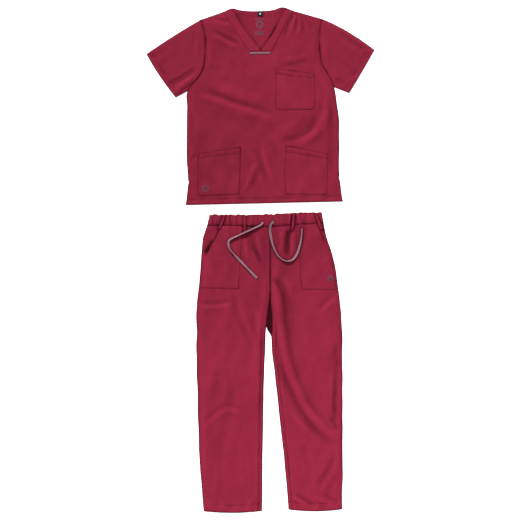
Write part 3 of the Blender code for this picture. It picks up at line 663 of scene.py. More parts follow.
def top_height(x, y):
    """The outer surface of the front of the top."""
    right, left, above = top_edge_distance(x, y)
    side = np.minimum(right, left)
    edge = np.minimum(side, above)
    vent = np.where(x < 0.0, VENT_TOP["right"], VENT_TOP["left"])
    open_edge = smooth_step((vent - y) / 0.012 + 0.5)
    armhole = smooth_step((y - 0.604) / 0.020)
    foot = EDGE_FOOT + (FRONT_BASE + THIN - EDGE_FOOT) * np.maximum(open_edge, 0.72 * armhole)
    shoulder_foot = EDGE_FOOT + 0.0004
    foot = np.where(above < side, shoulder_foot, foot)
    crest = FRONT_BASE + THIN
    height = foot + (crest - foot) * round_edge(edge, ROLL_WIDTH)
    inside = smooth_step(edge / PUFF_WIDTH)
    height += PUFF * inside
    height += folds_height(TOP_FOLDS, x, y) * smooth_step(edge / 0.014)
    height = soft_floor(with_waves(height, TOP_WAVES, x, y, inside), foot, inside)
    hem = y - hem_line(x)
    return np.maximum(height + hem_relief(hem, TOP_HEM, x, 21.0), foot)


def soft_floor(height, foot, inside):
    """Keeps the front clear of the back below it, with a soft bottom to each trough."""
    lowest = foot + (LOWEST_FRONT - foot) * inside
    above = height - lowest
    reach = 0.0008
    return lowest + 0.5 * (above + np.sqrt(above * above + reach * reach * inside))


def hem_line(x):
    """The Y of the top's hem at each X."""
    start, end = TOP_ROWS[-1].side_right, TOP_ROWS[-1].side_left
    return start[1] + (x - start[0]) * (end[1] - start[1]) / (end[0] - start[0])


def hem_relief(distance, depth, along, seed, pull=1.0):
    """A turned-up hem: a second layer, the groove of its stitching and the puckers beside it."""
    turned = 0.00045 * smooth_step((depth - distance) / 0.0012 + 0.5)
    groove = -0.00050 * bell(distance - depth, 0.0011)
    pucker = 0.0005 * rumple(along, distance * 0.3, 0.011, 1.0, 0.0, seed)
    pucker += 0.0024 * pull * rumple(along, distance * 0.5, 0.024, 1.0, 0.0, seed + 3.0)
    pucker = pucker * bell(distance - depth * 0.8, 0.014)
    pucker = np.maximum(pucker, -0.0005)
    return turned + groove + pucker - 0.0003 * (1.0 - round_edge(distance, 0.0010))


def leg_edges(side):
    """The start and end edges of a leg, each as pairs of X and Y close together."""
    knots, marks = marks_of(LEG_ROWS[side])
    dense = rows_at(knots, marks, np.linspace(0.0, marks[-1], 160))
    return dense[:, 0:2], dense[:, 2:4]


LEG_EDGES = {side: leg_edges(side) for side in LEG_ROWS}


def waist_seam(x):
    """The Y of the seam under the waistband at each X."""
    return np.interp(x, [row.x_seam for row in WAIST_ROWS], [row.y_seam for row in WAIST_ROWS])


def hem_share(side, x):
    """How far across a leg's hem each X is, from its start to its end."""
    row = LEG_ROWS[side][-1]
    return np.clip((x - row.x_start) / (row.x_end - row.x_start), 0.0, 1.0)


def leg_hem(side, x):
    """The Y of a leg's hem, which sags a little in the middle."""
    row = LEG_ROWS[side][-1]
    share = hem_share(side, x)
    return row.y_start + (row.y_end - row.y_start) * share - HEM_DIP * bow(share)


def leg_height(side, x, y):
    """The outer surface of a leg's front."""
    start, end = LEG_EDGES[side]
    from_start = x - edge_line(start, y)
    from_end = edge_line(end, y) - x
    outer, inner = by_side(side, from_start, from_end)
    crest = FRONT_BASE + THIN
    joined = smooth_step((y + 0.200) / 0.080)
    foot = EDGE_FOOT + (crest - EDGE_FOOT) * joined * 0.95
    hem = y - leg_hem(side, x)
    height = np.minimum(
        EDGE_FOOT + (crest - EDGE_FOOT) * round_edge(outer, ROLL_WIDTH),
        foot + (crest - foot) * round_edge(inner, ROLL_WIDTH),
    )
    seam_open = smooth_step(inner / PUFF_WIDTH)
    inside = smooth_step(outer / PUFF_WIDTH) * (seam_open + (1.0 - seam_open) * 0.62 * joined)
    rise = WAIST_RISE * smooth_step(1.0 - (waist_seam(x) - y) / WAIST_RISE_REACH)
    height += (PUFF + rise) * inside
    height += folds_height(LEG_FOLDS, x, y) * smooth_step(np.minimum(outer, inner + 0.006) / 0.014)
    below = np.clip(waist_seam(x) - y, 0.0, 1.0)
    gathers = rumple(x, y, 0.017, 5.0, 0.0, 5.5) * np.exp(-below / 0.038)
    height += inside * 0.0030 * gathers
    height = soft_floor(with_waves(height, LEG_WAVES, x, y, inside), EDGE_FOOT, inside)
    seam = -0.0004 * bell(inner, 0.0016) * joined
    seam -= 0.0008 * (1.0 - joined) * bell(inner - INSEAM, 0.0014)
    top = -0.0006 * (1.0 - round_edge(below, 0.0016))
    return np.maximum(height + seam + top + hem_relief(hem, LEG_HEM, x, 31.0, 1.7), EDGE_FOOT)


def legs_height(x, y):
    """The outer surface of both legs' fronts, whichever a point is on."""
    middle = 0.5 * (LEG_ROWS["right"][0].x_end + LEG_ROWS["left"][0].x_start)
    return np.where(x < middle, leg_height("right", x, y), leg_height("left", x, y))


def waist_height(x, y):
    """The outer surface of the waistband's front, which its elastic gathers."""
    seam = waist_seam(x)
    top = np.interp(x, [row.x_top for row in WAIST_ROWS], [row.y_top for row in WAIST_ROWS])
    share = np.clip((y - seam) / (top - seam), 0.0, 1.0)
    side = smooth_step(np.abs(x - 0.020) / 0.14)
    depth = 0.0009 + 0.0026 * side
    gathers = rumple(x, y, 0.0085, 6.0, 0.0, 41.0) + 0.5 * rumple(x, y, 0.019, 4.0, 6.0, 47.0)
    crown = 0.0011 * (1.0 - (2.0 * share - 1.0) ** 2)
    channel = -0.00035 * bell((share - 0.90) * WAIST_DEPTH, 0.0012)
    return WAIST_HEIGHT - 0.0009 + depth * gathers + crown + channel


def band_height(x, y):
    """The outer surface of a neck band, level with the front it is sewn to."""
    above = top_edge_distance(x, y)[2]
    crest = FRONT_BASE + PUFF + THIN + 0.0003
    fall = 0.0022 * (1.0 - round_edge(above, ROLL_WIDTH))
    return crest - fall + 0.00025 * rumple(x, y, 0.030, 2.0, 30.0, 51.0)


# --- Making meshes.


def new_object(name, data):
    """A new object in the scene with a mesh, a light or a camera."""
    item = bpy.data.objects.new(name, data)
    bpy.context.scene.collection.objects.link(item)
    return item


def place_piece(name, mesh, material):
    """Links a finished mesh as a piece of the set, riding on its body, and returns it."""
    mesh.materials.clear()
    mesh.materials.append(bpy.data.materials[material])
    piece = new_object(name, mesh)
    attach(piece, "root")
    return piece


def grid_mesh(name, places, shade=None, notch=None, closed=False):
    """A mesh over rows and columns of points, the first row at its top. notch says which cells to
    leave out, and closed joins the edges that meet."""
    rows, columns = places.shape[:2]
    mesh = bpy.data.meshes.new(name)
    cloth = bmesh.new()
    bmesh.ops.create_grid(cloth, x_segments=columns - 1, y_segments=rows - 1, size=0.5)
    cloth.to_mesh(mesh)
    mesh.vertices.foreach_set("co", places[::-1].reshape(-1).astype(np.float32))
    tint = mesh.attributes.new("shade", "FLOAT", "POINT")
    if shade is not None:
        tint.data.foreach_set("value", shade[::-1].reshape(-1).astype(np.float32))
    cloth.clear()
    cloth.from_mesh(mesh)
    if notch:
        unwanted = []
        for face in cloth.faces:
            row, column = divmod(min(vertex.index for vertex in face.verts), columns)
            if notch(rows - 2 - row, column):
                unwanted.append(face)
        bmesh.ops.delete(cloth, geom=unwanted, context="FACES")
    if closed:
        bmesh.ops.remove_doubles(cloth, verts=cloth.verts, dist=1e-6)
    cloth.to_mesh(mesh)
    cloth.free()
    return mesh


def walled(mesh, thickness):
    """The same surface as a wall of cloth, its thickness inside, with its edges kept crisp."""
    holder = new_object("wall_maker", mesh)
    wall = holder.modifiers.new("wall", "SOLIDIFY")
    wall.thickness = thickness
    wall.offset = -1.0
    bpy.context.view_layer.update()
    graph = bpy.context.evaluated_depsgraph_get()
    finished = bpy.data.meshes.new_from_object(holder.evaluated_get(graph))
    finished.name = mesh.name
    bpy.data.objects.remove(holder)
    bpy.data.meshes.remove(mesh)
    finished.shade_smooth()
    finished.set_sharp_from_angle(angle=math.radians(50.0))
    return finished


def painted_crease_shade(heights):
    """Painted shade in each trough and a painted highlight on each ridge, by the height of the
    cloth around it.
    """
    broad = heights
    for axis in (0, 1):
        padding = [(0, 0), (0, 0)]
        padding[axis] = (CREASE_REACH, CREASE_REACH)
        padded = np.pad(broad, padding, mode="edge")
        steps = range(2 * CREASE_REACH + 1)
        size = broad.shape[axis]
        broad = np.mean([padded.take(np.arange(size) + step, axis=axis) for step in steps], axis=0)
    return np.clip(CREASE_SHADE * (broad - heights), -REST_SHADE, 0.42)


# Broad patches of painted shade on the cloth, or of painted light below zero.
LightPatch = namedtuple("LightPatch", "x y reach darker")
PAINTED_LIGHT_PATCHES = (
    LightPatch(0.10, 0.74, 0.20, -0.10),
    LightPatch(-0.22, 0.36, 0.18, 0.13),
    LightPatch(0.03, 0.03, 0.15, 0.15),
)


def painted_light_drift(x, y):
    """How much painted shade each broad patch adds, fading from its middle; below zero it is
    painted light.
    """
    drift = np.zeros(x.shape)
    for tone in PAINTED_LIGHT_PATCHES:
        drift += tone.darker * np.exp(-((x - tone.x) ** 2 + (y - tone.y) ** 2) / tone.reach ** 2)
    return drift


def cloth_piece(name, places, wall, shade, crease=None, notch=None, closed=False):
    """A finished piece of the set's own cloth that stands for the frame's node of the same name."""
    # The shade attribute holds painted shade, made uneven, with the painted crease shade and
    # highlights and the broad patches of painted light and shade added.
    uneven = 0.78 + 0.75 * rumple(places[..., 0], places[..., 1], 0.032, 1.0, 0.0, 131.0)
    shade = REST_SHADE + (1.0 - REST_SHADE) * np.clip(shade * uneven, 0.0, 1.0)
    if crease is not None:
        shade = shade + crease
    shade = np.clip(shade + painted_light_drift(places[..., 0], places[..., 1]), 0.0, 1.0)
    mesh = walled(grid_mesh(name, places, shade, notch, closed), wall)
    piece = place_piece(name + "_cloth", mesh, "woven_cloth")
    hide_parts(name)
    return piece


def lifted(points, heights):
    """Points in plan with their heights."""
    return np.concatenate([points, heights[..., None]], axis=2)


def wrapped(front, back, axis):
    """Lines over the front of a flattened tube, then over its back to the first line again."""
    front, back = np.moveaxis(front, axis, 0), np.moveaxis(back, axis, 0)
    return np.moveaxis(np.concatenate([front, back[-2:0:-1], front[:1]]), 0, axis)


def painted_line_shade(distance, depth=0.5, width=0.0022):
    """Painted shade on the cloth beside an edge, a seam, a gap or a raised part."""
    return depth * bell(distance, width)


def with_shadows(shade, shadows, x, y):
    """A shade with painted shadow added beside each of some paths in plan."""
    for path, depth, width in shadows:
        distance, _ = path_distance(x, y, smooth_path(path, 12))
        shade = shade + painted_line_shade(distance, depth, width)
    return shade


# --- The top.

NECK_CELLS = 18
SIDE_CELLS = 44
HEM_RIM = sewn_rim(TOP_HEM)


def top_panel():
    """Points in plan over the top's front, the row below its neck and the neck's first column."""
    stations = stations_for(TOP_MARKS[-1], CELL, RIM, HEM_RIM, (TOP_MARKS[NECK_ROW],))
    rows = rows_at(TOP_KNOTS, TOP_MARKS, stations)
    right = spread(rows[:, 0:2], rows[:, 2:4], SIDE_CELLS, start_rim=RIM)
    neck = spread(rows[:, 2:4], rows[:, 4:6], NECK_CELLS)
    left = spread(rows[:, 4:6], rows[:, 6:8], SIDE_CELLS, end_rim=RIM)
    points = np.concatenate([right, neck[:, 1:-1], left], axis=1)
    points = loosen_sides(points)
    neck_row = int(np.argmin(np.abs(stations - TOP_MARKS[NECK_ROW])))
    return points, neck_row, right.shape[1] - 1


def build_top_front():
    points, neck_row, neck_column = top_panel()
    x, y = points[..., 0], points[..., 1]
    places = lifted(points, top_height(x, y))
    # Painted shade in the troughs of the folds.
    painted_trough = PAINTED_TROUGH_SHADE * np.clip(-folds_height(TOP_FOLDS, x, y), 0.0, 0.004)
    right, left, above = top_edge_distance(x, y)
    # Painted shade along the side and shoulder edges, at the hem's stitching and along the hem's
    # edge.
    shade = painted_line_shade(np.minimum(right, left), 0.9, 0.0030) + painted_line_shade(above, 0.7)
    shade += painted_line_shade(y - hem_line(x) - TOP_HEM, 0.40, 0.0016)
    shade += painted_line_shade(y - hem_line(x), 1.0, 0.0034)
    shade = np.clip(shade + painted_trough, 0.0, 1.0)

    def in_neck(row, column):
        return row < neck_row and neck_column <= column < neck_column + NECK_CELLS

    crease = painted_crease_shade(places[..., 2])
    piece = cloth_piece("top_front", places, THIN, shade, crease, in_neck)


def back_neck_line(x):
    """The Y of the upper outline of the back at each X, along both shoulders and the neck."""
    outline = (TOP_ROWS[0].side_right,) + BACK_NECK + (TOP_ROWS[0].side_left,)
    knots = np.array(outline)
    smooth = rows_at(knots, knots[:, 0], np.linspace(knots[0, 0], knots[-1, 0], 90))
    return np.interp(x, smooth[:, 0], smooth[:, 1])


def back_relief(x, y, edge):
    """The creases of a back panel, which stays flat where it rests."""
    inside = smooth_step(edge / 0.030)
    lift = 4.0 * folds_height(BACK_FOLDS, x, y)
    lift += 0.0010 * np.clip(rumple(x, y, 0.060, 1.8, 20.0, 61.0), 0.0, 1.0)
    return lift * inside


# Where the cloth inside the neck lies in shadow: a path in plan, how dark, and how far it fades.
NECK_SHADOWS = (
    (((0.056, 0.838), (0.046, 0.820), (0.037, 0.803)), 1.50, 0.0046),
    (((0.084, 0.896), (0.076, 0.874), (0.064, 0.850)), 0.40, 0.0120),
    (((-0.086, 0.880), (-0.056, 0.832), (-0.027, 0.792), (0.002, 0.755)), 0.50, 0.0080),
    (((0.003, 0.756), (0.022, 0.782), (0.042, 0.806)), 0.40, 0.0060),
)


def build_top_back():
    stations = stations_for(TOP_MARKS[-1], 1.6 * CELL, RIM, HEM_RIM)
    rows = rows_at(TOP_KNOTS, TOP_MARKS, stations)
    points = spread(rows[:, 0:2], rows[:, 6:8], 66, RIM, RIM)
    straight = points[..., 1].copy()
    fade = np.clip(1.0 - stations / 0.110, 0.0, 1.0)[:, None] ** 1.5
    points[..., 1] += (back_neck_line(points[..., 0]) - straight) * fade
    points = loosen_sides(points)
    x, y = points[..., 0], points[..., 1]
    right, left, _ = top_edge_distance(x, y)
    above = back_neck_line(x) - y
    edge = np.minimum(np.minimum(right, left), above)
    hem = y - hem_line(x)
    groove = 0.0003 * bell(hem - TOP_HEM, 0.0011)
    neck_groove = 0.0003 * bell(above - 0.016, 0.0016)
    places = lifted(points, THIN + back_relief(x, y, edge) + groove + neck_groove)
    inset = 0.0018 * np.exp(-np.minimum(right, left) / 0.010) * smooth_step((y - 0.30) / 0.02)
    places[..., 0] += inset * np.where(right < left, 1.0, -1.0)
    # Painted shade along the neck edge and its stitching, and painted shadow inside the neck.
    shade = painted_line_shade(above, 0.5) + painted_line_shade(above - 0.016, 0.3, 0.0016)
    shade = with_shadows(shade, NECK_SHADOWS, x, y)
    piece = cloth_piece("top_back", places, THIN, shade)


# A sleeve's columns slant, so a length along one counts as less than its distance from the edge.
SLEEVE_SLANT = 0.92
SLEEVE_CELLS = 34
CUFF_RIM = sewn_rim(CUFF_HEM)


def sleeve_plan(side):
    """Points in plan over a sleeve, from its upper fold down and from its armhole to its cuff."""
    armhole_mark = TOP_MARKS[ARMHOLE_ROW]
    seam = rows_at(TOP_KNOTS, TOP_MARKS, np.linspace(0.0, armhole_mark, 60))
    seam = seam[:, 0:2] if side == "right" else seam[:, 6:8]
    lengths = running_length(seam)
    across = stations_for(lengths[-1], CELL, RIM, RIM)
    start = np.stack([np.interp(across, lengths, seam[:, axis]) for axis in (0, 1)], axis=1)
    share = (across / lengths[-1])[:, None]
    cuff = CUFFS[side]
    end = np.array(cuff.tip) * (1.0 - share) + np.array(cuff.corner) * share
    end[:, 0] += CUFF_BOW[side] * bow(share[:, 0])
    points = spread(start, end, SLEEVE_CELLS, end_rim=CUFF_RIM)
    along = reach_from(points, points[:, :1])
    total = along[:, -1:]
    points[..., 1] += SLEEVE_BULGE[side] * bow(along / total) * (1.0 - share) ** 2
    return points, along, total - along


def build_sleeve(side):
    points, from_armhole, from_cuff = sleeve_plan(side)
    x, y = points[..., 0], points[..., 1]
    from_fold = SLEEVE_SLANT * reach_from(points, points[:1])
    from_seam = SLEEVE_SLANT * reach_from(points, points[-1:])
    edge = np.minimum(from_fold, from_seam)
    inside = smooth_step(np.minimum(edge / PUFF_WIDTH, from_armhole / 0.016))
    crest = SLEEVE_HEIGHT - 0.0012
    seam_part = 0.46 + 0.54 * round_edge(from_armhole, 0.012)
    height = 0.0014 + (crest * seam_part - 0.0014) * round_edge(edge, 0.012)
    height += folds_height(SLEEVE_FOLDS, x, y) * smooth_step(edge / 0.012)
    height = with_waves(height, SLEEVE_WAVES, x, y, inside)
    gathers = np.exp(-from_armhole / 0.020) * smooth_step(from_armhole / 0.003)
    height += 0.0009 * gathers * rumple(x, y, 0.011, 1.0, 0.0, 79.0)
    height += hem_relief(from_cuff, CUFF_HEM, y, 83.0)
    height = np.maximum(height, 0.0013)
    under = 0.0013 * (1.0 - round_edge(edge, 0.006))
    under += inside * 0.0010 * np.clip(rumple(x, y, 0.050, 1.8, 30.0, 87.0), 0.0, 1.0)
    # Painted shade at the armhole seam, the folded edges, the cuff and its stitching.
    shade = painted_line_shade(from_armhole, 1.0, 0.0042) + painted_line_shade(edge, 0.6, 0.0026)
    shade += painted_line_shade(from_cuff, 0.7, 0.0022)
    shade = np.clip(shade + painted_line_shade(from_cuff - CUFF_HEM, 0.30, 0.0014), 0.0, 1.0)
    places = wrapped(lifted(points, height), lifted(points, under), 0)
    shades = wrapped(shade, shade, 0)
    crease = wrapped(painted_crease_shade(height), np.zeros(height.shape), 0)
    if side == "right":
        places, shades, crease = places[:, ::-1], shades[:, ::-1], crease[:, ::-1]
    piece = cloth_piece("sleeve_" + side, places, THIN, shades, crease, closed=True)


def build_neck_band(side):
    knots, marks = marks_of(BAND_ROWS[side])
    seam_column = 0 if side == "right" else 2
    knots[:, seam_column] -= INWARD[side] * BAND_OVERLAP
    stations = stations_for(marks[-1], 0.6 * CELL, RIM[:3])
    rows = rows_at(knots, marks, stations)
    points = spread(rows[:, 0:2], rows[:, 2:4], 8, RIM, RIM)
    x, y = points[..., 0], points[..., 1]
    ends = (reach_from(points, points[:, :1]), reach_from(points, points[:, -1:]))
    from_seam, from_fold = by_side(side, *ends)
    height = band_height(x, y)
    height -= 0.0010 * (1.0 - round_edge(from_fold, 0.0030))
    height -= 0.0009 * bell(from_seam, 0.0016)
    height += 0.0006 * smooth_step(from_seam / 0.006)
    # Painted shade along the seam and along the folded inner edge.
    shade = painted_line_shade(from_seam, 0.45, 0.0022) + painted_line_shade(from_fold, 0.7, 0.0016)
    places = lifted(points, height)
    lighter = np.full(x.shape, -0.10)
    piece = cloth_piece("neck_band_" + side, places, THIN, np.clip(shade, 0.0, 1.0), lighter)


TAB_INSET = Vector((0.0022, 0.0010, 0.0))


def build_neck_tab():
    low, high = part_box("neck_tab")
    low, high = low + TAB_INSET, high - TAB_INSET
    columns = np.linspace(low[0], high[0], 46)
    depths = np.array([0.0, 0.06, 0.14, 0.3, 0.5, 0.7, 0.86, 0.94, 1.0])
    rows = high[1] - depths * (high[1] - low[1])
    x, y = np.meshgrid(columns, rows)
    ends = np.minimum(x - low[0], high[0] - x)
    edge = np.minimum(np.minimum(y - low[1], high[1] - y), ends)
    under = top_height(x, np.full(x.shape, 0.5 * (low[1] + high[1])))
    height = under + LAY_GAP + 0.0005 + 0.0009 * round_edge(edge, 0.0016)
    places = lifted(np.stack([x, y], axis=2), height)
    # The shade attribute paints shade along the tab's edges.
    mesh = walled(grid_mesh("neck_tab", places, painted_line_shade(edge, 0.5, 0.0012)), 0.0009)
    piece = place_piece("neck_tab_tape", mesh, "woven_tape")
    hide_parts("neck_tab")


# --- Patch pockets and belt loops, laid on what is under them.

# The hem at each pocket's upper edge; a trouser pocket has none there.
POCKET_HEMS = {
    "chest_pocket": 0.020,
    "lower_pocket_right": 0.022,
    "lower_pocket_left": 0.022,
    "trouser_pocket_right": 0.0,
    "trouser_pocket_left": 0.0,
}

# How far a trouser pocket goes up past its row, to be caught in the waistband's seam.
POCKET_TUCK = 0.006


def panel_height(name, x, y):
    """The outer surface that a pocket lies on."""
    return legs_height(x, y) if name.startswith("trouser") else top_height(x, y)


def pocket_plan(name):
    """Points in plan over a pocket, and how far each is from its upper edge."""
    knots, marks = marks_of(POCKET_ROWS[name])
    hem = POCKET_HEMS[name]
    top_rim = sewn_rim(hem) if hem else RIM
    if not hem:
        knots[0, 1::2] += POCKET_TUCK
    stations = stations_for(marks[-1], CELL, top_rim, RIM)
    rows = np.stack([np.interp(stations, marks, column) for column in knots.T], axis=1)
    width = float((knots[:, 2] - knots[:, 0]).max())
    points = spread(rows[:, 0:2], rows[:, 2:4], int(round(width / CELL)), RIM, RIM)
    return points, np.broadcast_to(stations[:, None], points.shape[:2])


def build_pocket(name):
    points, from_top = pocket_plan(name)
    x, y = points[..., 0], points[..., 1]
    hem = POCKET_HEMS[name]
    from_start = reach_from(points, points[:, :1])
    from_end = reach_from(points, points[:, -1:])
    from_base = from_top[-1] - from_top
    sewn = np.minimum(np.minimum(from_start, from_end), from_base)
    edge = np.minimum(sewn, from_top)
    height = panel_height(name, x, y) + LAY_GAP + THIN
    height -= 0.0006 * (1.0 - round_edge(edge, 0.0014))
    height -= 0.0004 * bell(sewn - POCKET_STITCH, 0.0013)
    inside = smooth_step(sewn / 0.012)
    height += inside * 0.0007 * smooth_step(1.0 - from_top / 0.050)
    height += inside * 0.0016 * rumple(x, y, 0.040, 1.6, 15.0, 91.0 + len(name))
    height += 0.00025 * rumple(x, y, 0.009, 1.0, 0.0, 97.0) * np.exp(-sewn / 0.008)
    # Painted shade along the sewn edges and their stitching, across the mouth and the hem, in the
    # gaping mouth of a trouser pocket, and the painted shadow of the drawstring.
    shade = painted_line_shade(sewn, 0.55, 0.0026) + painted_line_shade(sewn - POCKET_STITCH, 0.20, 0.0012)
    if hem:
        height += hem_relief(from_top, hem, x, 101.0, 0.8)
        height += 0.0012 * rumple(x, y, 0.012, 1.0, 0.0, 103.0) * bell(from_top - hem, 0.006)
        shade += painted_line_shade(from_top, 0.85, 0.0030) + painted_line_shade(from_top - hem, 0.12, 0.0016)
    else:
        opening = from_start if name.endswith("right") else 1.8 * from_end
        shade += painted_line_shade(opening, 0.9, 0.0036) * (y > 0.022) + painted_string_shadow(x, y)
    places = lifted(points, height)
    piece = cloth_piece(name, places, THIN, shade, painted_crease_shade(height))


def pocket_lift(x, y):
    """How far the trouser pockets lift what lies across them."""
    lift = np.zeros(x.shape)
    for name in ("trouser_pocket_right", "trouser_pocket_left"):
        rows = np.array(POCKET_ROWS[name])
        start = np.interp(y, rows[::-1, 1], rows[::-1, 0])
        end = np.interp(y, rows[::-1, 3], rows[::-1, 2])
        within = (x > start - 0.003) & (x < end + 0.003)
        within &= (y < rows[0, 1]) & (y > rows[-1, 1] - 0.003)
        lift = np.where(within, LAY_GAP + THIN, lift)
    return lift


def trouser_height(x, y):
    """The outer surface of the trousers without their loops."""
    below = legs_height(x, y) + pocket_lift(x, y)
    return np.where(y > waist_seam(x) - 0.0020, waist_height(x, y), below)


def reach_height(height, x, y, reach):
    """The highest a surface stands within reach of each point."""
    highest = height(x, y)
    for turn in range(6):
        angle = math.tau * turn / 6.0
        away_x, away_y = reach * math.cos(angle), reach * math.sin(angle)
        highest = np.maximum(highest, height(x + away_x, y + away_y))
    return highest


def loop_line(loop):
    """Where a belt loop starts in plan, which way it runs and how long it is."""
    start = np.array((loop.x_top, loop.y_top))
    line = np.array((loop.x_end, loop.y_end)) - start
    length = float(np.hypot(*line))
    return start, line / length, length


def painted_loop_shadow(x, y):
    """Painted shadow on the cloth just beside each belt loop."""
    shade = np.zeros(x.shape)
    for loop in BELT_LOOPS.values():
        path = np.array(((loop.x_top, loop.y_top), (loop.x_end, loop.y_end)))
        distance, _ = path_distance(x, y, path)
        shade += painted_line_shade(distance - 0.5 * LOOP_WIDTH - 0.001, 0.75, 0.0030)
    return shade


def painted_string_shadow(x, y):
    """Painted shadow on the cloth under and just beside each free end of the drawstring."""
    shade = np.zeros(x.shape)
    for route in STRING_ROUTES.values():
        distance, _ = path_distance(x, y, smooth_path(route, 60)[:, :2])
        shade += painted_line_shade(distance, 0.85, 0.0066)
    return shade


def build_belt_loop(name):
    start, line, length = loop_line(BELT_LOOPS[name])
    side = np.array((-line[1], line[0]))
    stations = stations_for(length, 0.0028, RIM[:4], RIM[:4])[:, None]
    middle = start + line * stations
    half = 0.5 * LOOP_WIDTH
    points = spread(middle - side * half, middle + side * half, 5, RIM[:3], RIM[:3])
    x, y = points[..., 0], points[..., 1]
    offset = np.abs((x - start[0]) * side[0] + (y - start[1]) * side[1])
    from_side = half - offset
    from_end = np.minimum(stations, length - stations)
    centre_x = np.broadcast_to(middle[:, :1], x.shape)
    centre_y = np.broadcast_to(middle[:, 1:], y.shape)
    base = 0.5 * reach_height(trouser_height, centre_x, centre_y, 0.0045)
    base = base + 0.5 * reach_height(trouser_height, x, y, 0.002)
    height = base + LAY_GAP + 0.0026
    height -= 0.0013 * (1.0 - round_edge(from_side, 0.0022))
    height -= 0.0009 * (1.0 - round_edge(from_end, 0.0018))
    height -= 0.0004 * bell(from_side - 0.0024, 0.0007)
    tack = bell(from_end - 0.0040, 0.0012)
    height -= 0.0005 * tack
    # Painted shade along the loop's sides and at its tacks.
    shade = np.clip(painted_line_shade(from_side, 1.0, 0.0022) + 0.3 * tack, 0.0, 1.0)
    places = lifted(points, height)
    piece = cloth_piece(name, places, 0.0012, shade)


# --- The trousers.

# Where the leg lies in shadow beside a pocket's mouth: a path in plan, how dark, and its fade.
POCKET_SHADOWS = (
    (((-0.174, 0.064), (-0.183, 0.046), (-0.192, 0.030)), 1.70, 0.0080),
    (((-0.144, 0.112), (-0.156, 0.090), (-0.168, 0.070)), 0.55, 0.0040),
)
LEG_CELLS = 50
LEG_SEEDS = {"right": 211.0, "left": 221.0}
BACK_INSET = 0.0018
BACK_SEAM_SHIFT = 0.0005
LEG_RIM = sewn_rim(LEG_HEM)
INSEAM_RIM = sewn_rim(INSEAM)


def dip_hem(side, points):
    """Lets the rows next to a leg's hem sag as the hem does."""
    fade = smooth_step(1.0 - (points[..., 1] - LEG_ROWS[side][-1].y_start - 0.034) / 0.080)
    points[..., 1] -= HEM_DIP * bow(hem_share(side, points[..., 0])) * fade
    return points


def stray_shares(side, y):
    """How much the start and end edges of a leg stray: the inner one only below the crotch."""
    outer = smooth_step((0.110 - y) / 0.040)
    inner = 0.5 * smooth_step((-0.360 - y) / 0.060)
    return by_side(side, outer, inner)


def build_leg_front(side):
    knots, marks = marks_of(LEG_ROWS[side])
    stations = stations_for(marks[-1], CELL, RIM, LEG_RIM)
    rows = rows_at(knots, marks, stations)
    rims = by_side(side, RIM, INSEAM_RIM)
    points = dip_hem(side, spread(rows[:, 0:2], rows[:, 2:4], LEG_CELLS, *rims))
    points = stray(points, *stray_shares(side, points[..., 1]), LEG_SEEDS[side])
    x, y = points[..., 0], points[..., 1]
    outer, inner = by_side(side, *side_gaps(points))
    closing = 0.0009 * smooth_step((y + 0.150) / 0.040) * smooth_step(1.0 - inner / 0.006)
    points[..., 0] += INWARD[side] * closing
    # Painted shade along both edges and broadly near the outer one, at the inseam, under the
    # waistband, at the hem, beside the loops, the drawstring and the pocket mouths, and in the
    # troughs of the folds.
    shade = painted_line_shade(outer, 0.85, 0.0028) + painted_line_shade(inner, 0.95, 0.0028)
    shade += painted_line_shade(outer, 0.11, 0.032) * smooth_step((y + 0.74) / 0.26)
    shade += painted_line_shade(inner - INSEAM, 0.6, 0.0018) * smooth_step((-0.225 - y) / 0.05)
    shade += painted_line_shade(waist_seam(x) - y - 0.0012, 0.9, 0.0032)
    shade += painted_line_shade(y - leg_hem(side, x) - LEG_HEM, 0.30, 0.0014)
    shade += painted_line_shade(y - leg_hem(side, x), 1.1, 0.0036)
    shade += painted_loop_shadow(x, y) + painted_string_shadow(x, y)
    shade = with_shadows(shade, POCKET_SHADOWS, x, y)
    shade += PAINTED_TROUGH_SHADE * np.clip(-folds_height(LEG_FOLDS, x, y), 0.0, 0.004)
    places = lifted(points, leg_height(side, x, y))
    piece = cloth_piece("leg_front_" + side, places, THIN, shade, painted_crease_shade(places[..., 2]))


